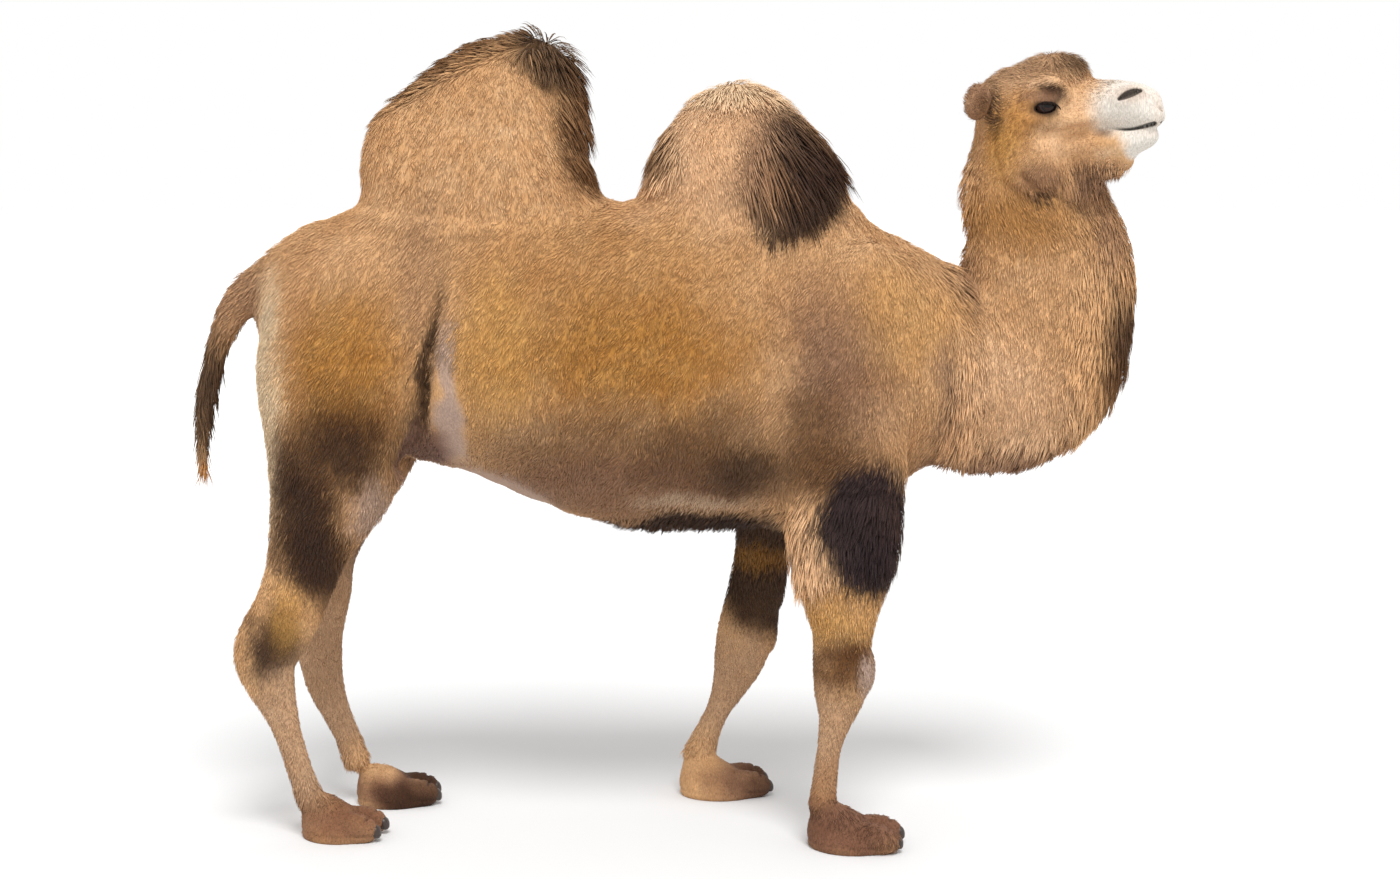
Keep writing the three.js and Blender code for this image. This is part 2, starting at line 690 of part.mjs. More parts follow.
function addLegs() {
  const thighHeights = spread(9, STIFLE_CUT, 1470);
  const shoulderHeights = spread(10, ELBOW_CUT, 1560);
  for (const side of Object.keys(SIDES)) {
    const hind = side === "right" ? HIND_RIGHT : HIND_LEFT;
    addRootPiece(`thigh_${side}`, LIMB_ROOTS[`thigh_${side}`], hind, thighHeights, 16, TAN);
    addLegPiece(`shank_${side}`, hind, HOCK_CUT, STIFLE_CUT - GAP, 6, BROWN);
    addLegPiece(`hind_cannon_${side}`, hind, FETLOCK_CUT, HOCK_CUT - GAP, 9, PALE);
    addFootPiece(`hind_foot_${side}`, hind, FEET[`hind_${side}`]);
    const fore = side === "right" ? FORE_RIGHT : FORE_LEFT;
    const root = LIMB_ROOTS[`shoulder_${side}`];
    addRootPiece(`shoulder_${side}`, root, fore, shoulderHeights, 16, BROWN);
    addLegPiece(`forearm_${side}`, fore, KNEE_CUT, ELBOW_CUT - GAP, 6, DARK);
    addLegPiece(`fore_cannon_${side}`, fore, FETLOCK_CUT, KNEE_CUT - GAP, 9, PALE);
    addFootPiece(`fore_foot_${side}`, fore, FEET[`fore_${side}`]);
  }
}

// ---- Tail --------------------------------------------------------------------------------------

// A ring square to the tail at one of its stations.
function tailRing(index, shift = 0) {
  const [before, after] = [TAIL[Math.max(index - 1, 0)], TAIL[Math.min(index + 1, TAIL.length - 1)]];
  const lean = THREE.MathUtils.radToDeg(Math.atan2(after[0] - before[0], before[2] - after[2])) + 180;
  return ring(TAIL[index].slice(0, 3), lean, { shift });
}

function addTail() {
  const field = fieldOf(["tail"]);
  const ends = spread(3, 0, 1).map((t) => ring(TAIL.at(-1).slice(0, 3), 180, { fan: 25 + 50 * t }));
  const root = loft(field, [0, 1, 2, 3].map((i) => tailRing(i)), 10);
  const clear = loft(grown(trunkField, 2 * GAP), trunkRings(), 28);
  addPiece("tail_root", root.subtract(clear), BROWN);
  addPiece("tail_middle", loft(field, [tailRing(3, GAP), ...[4, 5, 6].map((i) => tailRing(i))], 10), DARK);
  addPiece("tail_tip", loft(field, [tailRing(6, GAP), tailRing(7), tailRing(8), ...ends], 10), DARK);
}

addTrunk();
addHumps();
addNeck();
addHead();
addLegs();
addTail();

export default camel;
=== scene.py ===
"""The looks of a standing two-humped (Bactrian) camel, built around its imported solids.

One seamless skin is polygonised from the same smoothly joined forms as the solids, drawn in by the
depth of the coat, with the folds of the face and legs added. The coat is solid tufts scattered over
that skin. Forms and sizes are in millimetres in the solids' own frame, and meshes are in metres.
"""
import itertools
import math

import bmesh
import bpy
import numpy as np
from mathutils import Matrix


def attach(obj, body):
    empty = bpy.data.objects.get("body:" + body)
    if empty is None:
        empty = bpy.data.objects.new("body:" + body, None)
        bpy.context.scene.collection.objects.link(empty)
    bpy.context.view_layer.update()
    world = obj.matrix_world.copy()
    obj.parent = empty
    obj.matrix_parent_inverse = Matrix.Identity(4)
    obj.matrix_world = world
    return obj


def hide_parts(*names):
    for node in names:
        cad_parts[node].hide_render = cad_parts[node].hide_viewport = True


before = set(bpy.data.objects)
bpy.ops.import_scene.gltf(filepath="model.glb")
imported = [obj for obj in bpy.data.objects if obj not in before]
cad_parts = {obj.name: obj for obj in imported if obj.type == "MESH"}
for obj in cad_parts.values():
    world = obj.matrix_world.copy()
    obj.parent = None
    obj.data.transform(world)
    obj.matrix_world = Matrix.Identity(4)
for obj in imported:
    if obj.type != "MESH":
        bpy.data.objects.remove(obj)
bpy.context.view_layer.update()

import openvdb
from mathutils import Vector

MM = 0.001
ORIGIN = np.array([-23.5, 2.5, 0.0])  # the frame's origin, in the forms' millimetres


def to_frame(points):
    """Millimetres of the forms to metres of the frame."""
    return (points - ORIGIN) * MM


# ---- Forms of the body -----------------------------------------------------------------------------

def rotation(pitch=0.0, yaw=0.0, roll=0.0):
    """Degrees. Pitch lifts the nose, yaw turns it towards the animal's left."""
    p, y, r = np.radians([pitch, yaw, roll])
    lift = np.array([[np.cos(p), 0, -np.sin(p)], [0, 1, 0], [np.sin(p), 0, np.cos(p)]])
    turn = np.array([[np.cos(y), -np.sin(y), 0], [np.sin(y), np.cos(y), 0], [0, 0, 1]])
    tip = np.array([[1, 0, 0], [0, np.cos(r), -np.sin(r)], [0, np.sin(r), np.cos(r)]])
    return turn @ lift @ tip


class Place:
    """A frame of its own inside the body's frame, such as the head's."""

    def __init__(self, at, **turn):
        self.at = np.array(at, float)
        self.turn = rotation(**turn)

    def inward(self, points):
        return (points - self.at) @ self.turn

    def outward(self, points):
        return points @ self.turn.T + self.at

    def outward_direction(self, vector):
        return np.asarray(vector, float) @ self.turn.T


BODY_PLACE = Place((0, 0, 0))
HEAD = Place((838, 0, 1958), pitch=2, yaw=-16)


def smooth_min(a, b, blend):
    """The lesser of two distances, rounded off where they differ by less than the blend."""
    overlap = np.maximum(blend - np.abs(a - b), 0) / blend
    return np.minimum(a, b) - overlap * overlap * blend * 0.25


def round_distance(coordinates, radii):
    """Distance to an ellipse or ellipsoid, from the point's coordinates and the radii."""
    near = sum((c / r) ** 2 for c, r in zip(coordinates, radii))
    slope = sum((c / (r * r)) ** 2 for c, r in zip(coordinates, radii))
    near = np.sqrt(near)
    return near * (near - 1) / np.sqrt(np.maximum(slope, 1e-12))


def points_near(form, points, pad):
    """Which of the points lie in a form's box, widened by the pad."""
    low, high = form.box(pad)
    return np.flatnonzero(((points > low) & (points < high)).all(-1))


class Form:
    """One round form. Its skin lies under the tips of its hair by the depth of the coat."""

    def __init__(self, blend=60, coat=12, both=False, place=BODY_PLACE, cut=False):
        self.blend, self.coat, self.both, self.place, self.cut = blend, coat, both, place, cut

    def box(self, pad):
        low, high = self.own_box()
        if self.both:
            reach = max(abs(low[1]), abs(high[1]))
            low[1], high[1] = -reach, reach
        corners = self.place.outward(np.array(list(itertools.product(*zip(low, high)))))
        return corners.min(0) - pad, corners.max(0) + pad

    def distance(self, points):
        local = self.place.inward(points)
        if self.both:
            local = np.stack([local[..., 0], -np.abs(local[..., 1]), local[..., 2]], -1)
        return self.own_distance(local)


class Ball(Form):
    def __init__(self, at, radii, pitch=0, yaw=0, roll=0, **rest):
        super().__init__(**rest)
        self.own = Place(at, pitch=pitch, yaw=yaw, roll=roll)
        self.radii = radii

    def own_box(self):
        reach = np.sqrt(((self.own.turn * self.radii) ** 2).sum(1))
        return self.own.at - reach, self.own.at + reach

    def own_distance(self, points):
        local = self.own.inward(points)
        return round_distance([local[..., i] for i in range(3)], self.radii)


FAR = 1000.0  # a distance that is out of reach
PER_SPAN = 3  # steps of the smooth curve from each station to the next


def smooth_rows(rows):
    """Catmull-Rom through rows of numbers."""
    rows = np.array(rows, float)
    last = len(rows) - 1
    smooth = []
    for step in range(last * PER_SPAN):
        span, t = step // PER_SPAN, step % PER_SPAN / PER_SPAN
        a, b, c, d = (rows[min(max(i, 0), last)] for i in range(span - 1, span + 3))
        bend = (2 * a - 5 * b + 4 * c - d) * t * t + (3 * b - a - 3 * c + d) * t ** 3
        smooth.append(0.5 * (2 * b + (c - a) * t + bend))
    smooth.append(rows[last])
    return np.array(smooth)


class Limb(Form):
    """A chain of stations: x, y, z, half depth (in the XZ plane) and half width (along Y)."""

    def __init__(self, rows, **rest):
        super().__init__(**rest)
        self.stations = smooth_rows(rows)

    def own_box(self):
        depth = self.stations[:, 3:].max(1)[:, None]
        return (self.stations[:, :3] - depth).min(0), (self.stations[:, :3] + depth).max(0)

    def own_distance(self, points):
        nearest = np.full(len(points), FAR, np.float32)
        for start, end in zip(self.stations[:-1], self.stations[1:]):
            step = end[:3] - start[:3]
            reach = max(start[3:].max(), end[3:].max()) + np.linalg.norm(step) / 2 + self.blend
            offset = points - start[:3]
            close = np.flatnonzero(((offset - step / 2) ** 2).sum(-1) < reach * reach)
            offset = offset[close]
            t = np.clip(offset @ (step / (step @ step)), 0, 1)
            across = offset - t[:, None] * step
            flat = np.hypot(across[:, 0], across[:, 2])
            radii = [start[i] + t * (end[i] - start[i]) for i in (3, 4)]
            nearest[close] = np.minimum(nearest[close], round_distance([flat, across[:, 1]], radii))
        return nearest


TRUNK = [
    Limb([
        (-1025, 0, 1480, 90, 85),  # rump
        (-900, 0, 1420, 258, 205),
        (-700, 0, 1368, 340, 262),  # loin
        (-450, 0, 1340, 388, 326),
        (-180, 0, 1287, 440, 352),  # widest part of the belly
        (60, 0, 1280, 444, 345),
        (300, 0, 1284, 428, 305),  # ribs behind the shoulder
        (500, 0, 1292, 346, 250),  # withers
        (640, 0, 1296, 260, 195),
        (740, 0, 1278, 205, 165),  # root of the neck
    ], coat=13),
    Ball((-900, 0, 1505), (222, 190, 150), pitch=14, blend=80, coat=12),  # croup
    Ball((-890, -150, 1290), (240, 146, 310), pitch=-8, both=True, coat=11),  # haunch
    Ball((430, -175, 1290), (185, 112, 330), pitch=-14, both=True, blend=80, coat=13),  # shoulder
    Ball((435, -215, 1060), (158, 100, 200), pitch=6, both=True, coat=12),  # upper arm
    Ball((330, 0, 970), (230, 165, 110), blend=80, coat=14),  # brisket
    Ball((590, 0, 1175), (110, 145, 135), coat=14),  # chest
]
HUMPS = [
    Limb([
        (-545, 0, 1640, 340, 235),
        (-530, 0, 1780, 290, 180),
        (-500, 0, 1900, 232, 138),
        (-450, 0, 1985, 130, 100),
    ], blend=80, coat=16),
    Limb([  # the crest of long hair
        (-768, 0, 1915, 52, 60),
        (-620, 0, 2022, 60, 66),
        (-440, 0, 2112, 74, 68),
        (-336, 0, 2068, 78, 70),
        (-312, 0, 1940, 62, 70),
    ], blend=70, coat=40),
    Limb([
        (190, 0, 1640, 302, 240),
        (166, 0, 1760, 258, 190),
        (158, 0, 1840, 204, 155),
        (156, 0, 1905, 142, 122),
        (165, 0, 1940, 102, 92),
    ], blend=80, coat=17),
]
NECK = [Limb([
    (480, 0, 1310, 255, 215),
    (690, 0, 1278, 222, 185),
    (850, 0, 1238, 262, 172),  # lowest part of the mane
    (965, 0, 1292, 258, 165),
    (1003, 0, 1430, 246, 155),
    (1006, 0, 1550, 238, 144),
    (990, 0, 1640, 214, 134),
    (966, 0, 1720, 200, 126),
    (940, 0, 1800, 172, 116),
    (915, 0, 1880, 132, 104),  # poll
], coat=22)]
TAIL = [Limb([
    (-985, 0, 1590, 60, 58),  # root
    (-1095, 0, 1535, 56, 46),
    (-1170, 0, 1480, 58, 42),
    (-1222, 0, 1415, 50, 38),
    (-1262, 0, 1330, 37, 33),
    (-1290, 0, 1235, 32, 29),
    (-1307, 0, 1150, 28, 26),
    (-1312, 0, 1070, 22, 20),
    (-1306, 0, 1000, 15, 14),
    (-1296, 0, 950, 8, 8),  # tip of the hair
], blend=40, coat=12)]
HIND_RIGHT = [
    (-890, -175, 1250, 208, 140),  # hip
    (-905, -188, 1144, 198, 125),
    (-913, -198, 1038, 184, 105),  # stifle
    (-933, -203, 957, 158, 90),
    (-960, -205, 890, 134, 78),
    (-986, -205, 815, 112, 64),
    (-1014, -203, 720, 100, 52),  # thin of the shank
    (-1052, -200, 625, 98, 46),
    (-1096, -198, 550, 97, 46),
    (-1114, -196, 500, 88, 47),  # hock
    (-1104, -193, 440, 74, 42),
    (-1086, -188, 380, 58, 37),
    (-1060, -180, 290, 42, 34),  # cannon
    (-1030, -174, 185, 38, 36),
    (-1006, -170, 110, 40, 42),  # fetlock
]
HIND_LEFT = [
    (-880, 175, 1250, 195, 140),
    (-890, 188, 1144, 180, 125),
    (-905, 198, 1038, 160, 105),
    (-925, 200, 957, 130, 90),
    (-950, 200, 880, 104, 76),
    (-978, 198, 800, 88, 62),
    (-1003, 195, 706, 76, 50),
    (-1022, 190, 625, 86, 46),
    (-1036, 186, 550, 84, 46),
    (-1042, 182, 495, 80, 46),
    (-1034, 178, 430, 69, 41),
    (-1021, 174, 350, 60, 37),
    (-994, 170, 276, 48, 35),
    (-960, 167, 200, 41, 36),
    (-934, 165, 130, 42, 42),
]
FORE_RIGHT = [
    (435, -225, 1000, 165, 100),  # elbow
    (438, -240, 900, 155, 98),
    (444, -246, 800, 138, 92),  # long hair of the forearm
    (434, -250, 690, 112, 78),
    (434, -252, 590, 86, 62),
    (434, -252, 500, 84, 60),  # knee
    (430, -252, 430, 76, 58),
    (420, -253, 360, 54, 44),
    (402, -254, 280, 38, 36),  # cannon
    (390, -255, 190, 38, 38),
    (384, -256, 120, 42, 46),  # fetlock
]
FORE_LEFT = [
    (330, 225, 1000, 135, 100),
    (285, 238, 900, 104, 86),
    (246, 244, 808, 86, 74),
    (235, 248, 710, 82, 68),
    (216, 250, 590, 86, 62),
    (188, 252, 490, 86, 60),
    (172, 254, 410, 80, 58),
    (145, 256, 330, 58, 44),
    (108, 258, 250, 40, 36),
    (76, 260, 180, 42, 38),
    (52, 262, 115, 50, 46),
]
LEG_COAT = 8
LEG_ROWS = (HIND_RIGHT, HIND_LEFT, FORE_RIGHT, FORE_LEFT)
LEGS = [Limb(rows, blend=45, coat=LEG_COAT) for rows in LEG_ROWS]

# Each foot: heel, toe, y of its middle, half width and splay in degrees.
FEET = {
    "hind_foot_right": (-1036, -800, -168, 86, -8),
    "hind_foot_left": (-936, -690, 165, 86, 8),
    "fore_foot_right": (338, 604, -257, 98, -8),
    "fore_foot_left": (-10, 266, 262, 98, 8),
}
TOES = {"inner": 1, "outer": -1}
TOE_ASIDE = 0.46  # of the foot's half width, from its middle line to a toe's
TOE_SPLAY = 3  # degrees, out from the foot's own
FOOT_COAT = 4


def on_foot(foot, forward, aside, height):
    """A point of the foot, from fractions of its length and half width."""
    heel, toe, y, half, splay = FEET[foot]
    ahead, beside, turn = forward * (toe - heel), aside * half, np.radians(splay)
    x = (heel + toe) / 2 + ahead * np.cos(turn) - beside * np.sin(turn)
    return x, y + ahead * np.sin(turn) + beside * np.cos(turn), height


def foot_forms(foot):
    heel, toe, _, half, splay = FEET[foot]

    def part(forward, aside, height, size, blend, **turn):
        radii = (size[0] * (toe - heel), size[1] * half, size[2])
        turn = {"yaw": splay, **turn}
        return Ball(on_foot(foot, forward, aside, height), radii, blend=blend, coat=FOOT_COAT, **turn)

    toes = [
        part(0.22, side * TOE_ASIDE, 34, (0.26, 0.45, 44), 14, yaw=splay + side * TOE_SPLAY, pitch=-4)
        for side in TOES.values()
    ]
    return [
        part(-0.04, 0, 8, (0.42, 1, 56), 30),  # pad
        part(-0.25, 0, 45, (0.24, 0.62, 62), 30),  # heel
        *toes,
        part(-0.12, 0, 60, (0.28, 0.6, 44), 34, pitch=-16),  # instep
    ]


def head_ball(at, radii, **rest):
    return Ball(at, radii, place=HEAD, **rest)


HEAD_FORMS = [
    head_ball((82, 0, 38), (122, 90, 88), pitch=6, coat=10),  # cranium
    head_ball((184, 0, 92), (92, 64, 68), pitch=-3, blend=50, coat=14),  # topknot
    head_ball((168, -70, 48), (56, 32, 36), both=True, blend=34, coat=5),  # brow
    Limb([
        (110, 0, -5, 98, 84),
        (210, 0, 2, 78, 68),
        (300, 0, 10, 66, 60),  # bridge of the nose
        (370, 0, 6, 62, 58),
        (408, 0, 0, 52, 54),  # nostrils
    ], blend=36, place=HEAD, coat=3),
    head_ball((392, 0, -8), (46, 54, 50), blend=30, pitch=-20, coat=2),  # nose
    head_ball((426, -22, -28), (38, 33, 32), both=True, blend=20, coat=2),  # upper lip
    Limb([
        (70, 0, -95, 80, 60),  # angle of the jaw
        (160, 0, -104, 68, 50),
        (255, 0, -98, 48, 45),
        (335, 0, -88, 36, 43),
        (384, 0, -86, 32, 42),  # lower lip
    ], blend=24, place=HEAD, coat=4),
    head_ball((95, -50, -80), (92, 36, 92), both=True, blend=50, coat=6),  # cheek
    head_ball((235, 0, -168), (84, 38, 58), pitch=-20, blend=40, coat=30),  # beard
    head_ball((105, 0, -190), (95, 72, 70), coat=22),  # throat
]
FEET_FORMS = [form for foot in FEET for form in foot_forms(foot)]
BODY = [*TRUNK, *HUMPS, *NECK, *TAIL, *LEGS, *FEET_FORMS, *HEAD_FORMS]


# ---- Detail of the skin ----------------------------------------------------------------------------

EYE_AT = (160, -67, 10)  # right eye, in the head's frame
EYE_RADIUS = 30
LID = 5  # thickness of the eyelids
EAR_AT = (-16, -96, 26)
EAR_SIZE = (34, 13, 50)
EAR_TURN = {"pitch": 18, "yaw": 200, "roll": 8}


def on_face(kind, *shape, both=True, **rest):
    """A form of the bare face, on both sides of it unless it is told otherwise."""
    return kind(*shape, place=HEAD, coat=0, both=both, **rest)


ear_frame = Place(EAR_AT, **EAR_TURN)
ear_cup_at = tuple(ear_frame.outward(np.array([-8.0, 15.0, -4.0])))

HOLLOWS = [  # the openings of the face, where no hair grows, which coat_colour darkens with painted shade
    on_face(Limb, [  # the nostril
        (350, -61, 18, 4, 12),
        (368, -62, 27, 9, 16),
        (388, -60, 34, 9, 16),
        (405, -55, 37, 4, 12),
    ], blend=7, cut=True),
    on_face(Limb, [  # line of the mouth
        (312, -44, -54, 2, 20),
        (340, -46, -58, 3, 22),
        (374, -46, -61, 3.5, 24),
        (408, -46, -56, 4.5, 22),
        (438, -36, -49, 6, 16),
    ], blend=6, cut=True),
    on_face(Ball, (460, 0, -45), (11, 30, 3), blend=5, cut=True, both=False),
    on_face(Ball, EYE_AT, (EYE_RADIUS + 0.4,) * 3, blend=1, cut=True),
    on_face(Ball, (162, -100, 2), (33, 28, 14.5), blend=3, pitch=4, cut=True),  # the open eye
]
HEAD_DETAIL = [
    on_face(Ball, EAR_AT, EAR_SIZE, blend=14, **EAR_TURN),
    on_face(Ball, ear_cup_at, (21, 12, 34), blend=9, cut=True, **EAR_TURN),
    on_face(Limb, [  # cheekbone, from under the eye to the lips
        (150, -82, -36, 11, 9),
        (205, -72, -32, 11, 8),
        (262, -60, -28, 8, 7),
    ], blend=32),
    on_face(Limb, [  # muscle of the cheek, down to the jaw
        (92, -84, -90, 34, 9),
        (112, -84, -135, 44, 11),
        (150, -80, -170, 32, 9),
    ], blend=46),
    on_face(Limb, [  # crease where the jaw meets the throat
        (100, -98, -172, 5, 10),
        (140, -92, -214, 6, 11),
        (183, -78, -232, 5, 10),
    ], blend=18, cut=True),
    on_face(Ball, (374, -46, 27), (44, 17, 25), blend=16, pitch=16),  # rim of the nostril
    on_face(Limb, [  # groove from the nostril down to the cleft lip
        (410, -58, 36, 3, 5),
        (430, -54, 22, 4, 5),
        (446, -42, 2, 4, 5),
        (455, -24, -18, 4, 6),
    ], blend=9, cut=True),
    on_face(Ball, (458, 0, -26), (16, 4, 30), blend=10, cut=True, both=False),  # cleft of the lip
    on_face(Ball, (398, 0, -84), (50, 44, 34), blend=16, pitch=12, both=False),  # fullness of the lower lip
    on_face(Ball, (350, -30, -98), (44, 22, 26), blend=26),  # chin
    on_face(Ball, (318, 0, -138), (62, 32, 34), blend=44, pitch=-12, both=False),  # beard under the chin
    on_face(Ball, (160, -70, -38), (38, 20, 13), blend=16),  # under the eye
    on_face(Limb, [  # brow over the eye
        (112, -86, 26, 9, 9),
        (130, -86, 58, 10, 9),
        (168, -80, 72, 11, 10),
        (206, -74, 58, 9, 9),
        (218, -74, 34, 7, 7),
    ], blend=20),
    on_face(Ball, EYE_AT, (EYE_RADIUS + LID,) * 3, blend=7),  # the lids
    on_face(Ball, (180, -108, 36), (34, 15, 11), blend=12, pitch=-12, cut=True),  # hollow over it
    *HOLLOWS,
]

BODY_DETAIL = [
    Ball((-765, 0, 1850), (92, 96, 120), pitch=-20, blend=70, coat=8),  # rear edge of the rear hump
    Limb([  # fold of the flank, in front of the thigh
        (-630, -300, 1470, 8, 34),
        (-642, -296, 1370, 14, 56),
        (-670, -272, 1235, 20, 74),
        (-712, -232, 1095, 24, 76),
        (-738, -210, 1030, 22, 60),
    ], blend=26, cut=True, both=True),
    Limb([  # hollow between shoulder and ribs
        (262, -345, 1330, 12, 12),
        (258, -350, 1180, 16, 16),
        (268, -335, 1040, 18, 20),
    ], blend=60, cut=True, both=True),
    Limb([  # crease between neck and shoulder
        (735, -205, 1330, 14, 16),
        (722, -190, 1200, 22, 22),
        (725, -150, 1080, 20, 24),
    ], blend=34, cut=True, both=True),
]


def leg_detail(rows, hind):
    """Tendons, the hock or knee, and their hollows, set on a leg's own stations."""
    stations = smooth_rows(rows)

    def beside(height, forward, aside):
        row = stations[np.argmin(np.abs(stations[:, 2] - height))]
        side = np.sign(row[1])
        return (row[0] + forward * row[3], row[1] + side * aside * row[4], height)

    def groove(points, depth, blend=14):
        rows = [(*beside(*point), depth, depth) for point in points]
        return Limb(rows, blend=blend, cut=True)

    if hind:
        tendon, inner = (
            [(720, -0.5, side), (640, -0.42, 1.05 * side), (570, -0.3, 1.1 * side)] for side in (1, -1)
        )
        front = [(560, 0.35, 1.0), (500, 0.3, 1.05), (430, 0.25, 1.0)]
        cannon = [(400, -0.2, 1.05), (300, -0.1, 1.1), (180, -0.1, 1.1)]
        return [groove(tendon, 11, 24), groove(inner, 11, 24), groove(front, 7, 18), groove(cannon, 5)]
    callus = Ball(beside(480, 0.72, 0.0), (28, 38, 60), blend=16, coat=0)
    fold = groove([(548, 0.5, 1.0), (545, 1.0, 0.2), (548, 0.5, -1.0)], 5)
    side = [(520, -0.2, 1.05), (440, -0.1, 1.05), (370, -0.1, 1.0)]
    cannon = [(330, -0.35, 1.0), (260, -0.3, 1.05), (170, -0.2, 1.05)]
    return [callus, fold, groove(side, 8, 20), groove(cannon, 5)]


LEG_DETAIL = [form for rows in LEG_ROWS for form in leg_detail(rows, rows in (HIND_RIGHT, HIND_LEFT))]


def foot_detail(foot):
    """The cleft between the toes, the rim over the pad and a wrinkle over each toe."""
    heel, toe, _, half, splay = FEET[foot]
    length = toe - heel
    cleft = Limb([
        (*on_foot(foot, 0.2, 0, 74), 5, 5),
        (*on_foot(foot, 0.36, 0, 52), 8, 7),
        (*on_foot(foot, 0.5, 0, 22), 9, 9),
    ], blend=16, cut=True)
    pad_middle = on_foot(foot, -0.02, 0, 21)
    rim = Ball(pad_middle, (0.5 * length, 1.12 * half, 3), blend=7, yaw=splay, cut=True)
    filling = Ball(pad_middle, (0.43 * length, 0.9 * half, 12), blend=8, yaw=splay, coat=0)
    wrinkles = [
        Ball(on_foot(foot, 0.26 + 0.09 * row, side * TOE_ASIDE, 80 - 14 * row), (3, 0.4 * half, 9),
             blend=8, yaw=splay + side * TOE_SPLAY, pitch=-20, cut=True)
        for side in TOES.values() for row in range(2)
    ]
    return [cleft, rim, filling, *wrinkles]  # the filling keeps the rim's cut shallow


FEET_DETAIL = [form for foot in FEET for form in foot_detail(foot)]
SKIN = [*BODY, *BODY_DETAIL, *LEG_DETAIL, *FEET_DETAIL, *HEAD_DETAIL]


# ---- The skin --------------------------------------------------------------------------------------

NECK_SEAM = 1700  # heights where the finer meshes of head and feet join the body's
ANKLE_SEAM = 150
SEAM_WIDTH = 3
ON_SEAM = 0.01  # how near an open edge lies to the height of its cut
HEEL_REACH = 60  # how far behind its heel an ankle's open edge may lie
BODY_VOXEL, HEAD_VOXEL, FOOT_VOXEL = 11.0, 2.7, 4.5
REGIONS = {
    "body": ((-1440, -450, 100), (1290, 450, 2250), BODY_VOXEL),
    "head": ((730, -260, 1685), (1310, 180, 2180), HEAD_VOXEL),
    "feet": ((-1160, -420, -12), (660, 420, 172), FOOT_VOXEL),
}
COAT_SHARE = 0.72  # of a form's coat, how deep its skin lies
COARSER = 3  # the first pass takes every third point of the grid
BAND = 1.3  # the second pass takes what is this near the surface, in steps of the first


def join_form(depth, form, points):
    """Adds a form to a field, or cuts it out."""
    found = form.distance(points)
    if form.cut:
        return -smooth_min(-depth, found, form.blend)
    return smooth_min(depth, found + form.coat * COAT_SHARE, form.blend)


def skin_depth(points):
    """Distance from the skin at loose points, below zero inside the body."""
    depth = np.full(len(points), FAR, np.float32)
    for form in SKIN:
        near = points_near(form, points, form.blend)
        if len(near):
            depth[near] = join_form(depth[near], form, points[near])
    return np.maximum(depth, -points[:, 2])


def grid_axes(low, high, step):
    return [np.arange(a, b + step, step) for a, b in zip(low, high)]


def grid_points(axes):
    return np.stack(np.meshgrid(*axes, indexing="ij"), -1).reshape(-1, 3).astype(np.float32)


def finer(field, axes, fine_axes):
    """A field between its grid's points, along each axis in turn."""
    for axis, (coarse, fine) in enumerate(zip(axes, fine_axes)):
        share = np.array([np.interp(fine, coarse, row) for row in np.eye(len(coarse))], np.float32)
        field = np.moveaxis(np.tensordot(field, share, (axis, 0)), -1, axis)
    return field


def polygonise(low, high, voxel):
    """The skin inside a box, as points and faces."""
    fine = grid_axes(low, high, voxel)
    coarse = grid_axes(low, high, voxel * COARSER)
    shape = [len(axis) for axis in coarse]
    depth = finer(skin_depth(grid_points(coarse)).reshape(shape), coarse, fine)
    band = np.argwhere(np.abs(depth) < BAND * COARSER * voxel)
    points = np.stack([axis[index] for axis, index in zip(fine, band.T)], -1).astype(np.float32)
    depth[tuple(band.T)] = skin_depth(points)
    grid = openvdb.FloatGrid(background=FAR)
    grid.copyFromArray(np.ascontiguousarray(depth, np.float32))
    points, faces = grid.convertToQuads(isovalue=0.0)
    return points * voxel + np.array(low, float), faces


def cut_open(mesh, height, keep_above, in_reach):
    """Cuts away what is above or below a height, inside the reach given."""
    faces = [f for f in mesh.faces if in_reach(f.calc_center_median())]
    edges = dict.fromkeys(e for f in faces for e in f.edges)  # kept in order, so that each run is the same
    verts = dict.fromkeys(v for f in faces for v in f.verts)
    bmesh.ops.bisect_plane(
        mesh, geom=[*verts, *edges, *faces], dist=1e-4, plane_co=(0, 0, height), plane_no=(0, 0, 1),
        clear_inner=keep_above, clear_outer=not keep_above,
    )


def region_mesh(name):
    points, faces = polygonise(*REGIONS[name])
    mesh = bpy.data.meshes.new(name)
    mesh.from_pydata(points.tolist(), [], faces.tolist())
    built = bmesh.new()
    built.from_mesh(mesh)
    bpy.data.meshes.remove(mesh)
    return built


def add_to(mesh, other):
    """Adds another bmesh to the first."""
    held = bpy.data.meshes.new("held")
    other.to_mesh(held)
    mesh.from_mesh(held)
    bpy.data.meshes.remove(held)


def open_edges_at(mesh, *heights):
    return [
        edge for height in heights for edge in mesh.edges
        if edge.is_boundary and all(abs(vert.co.z - height) < ON_SEAM for vert in edge.verts)
    ]


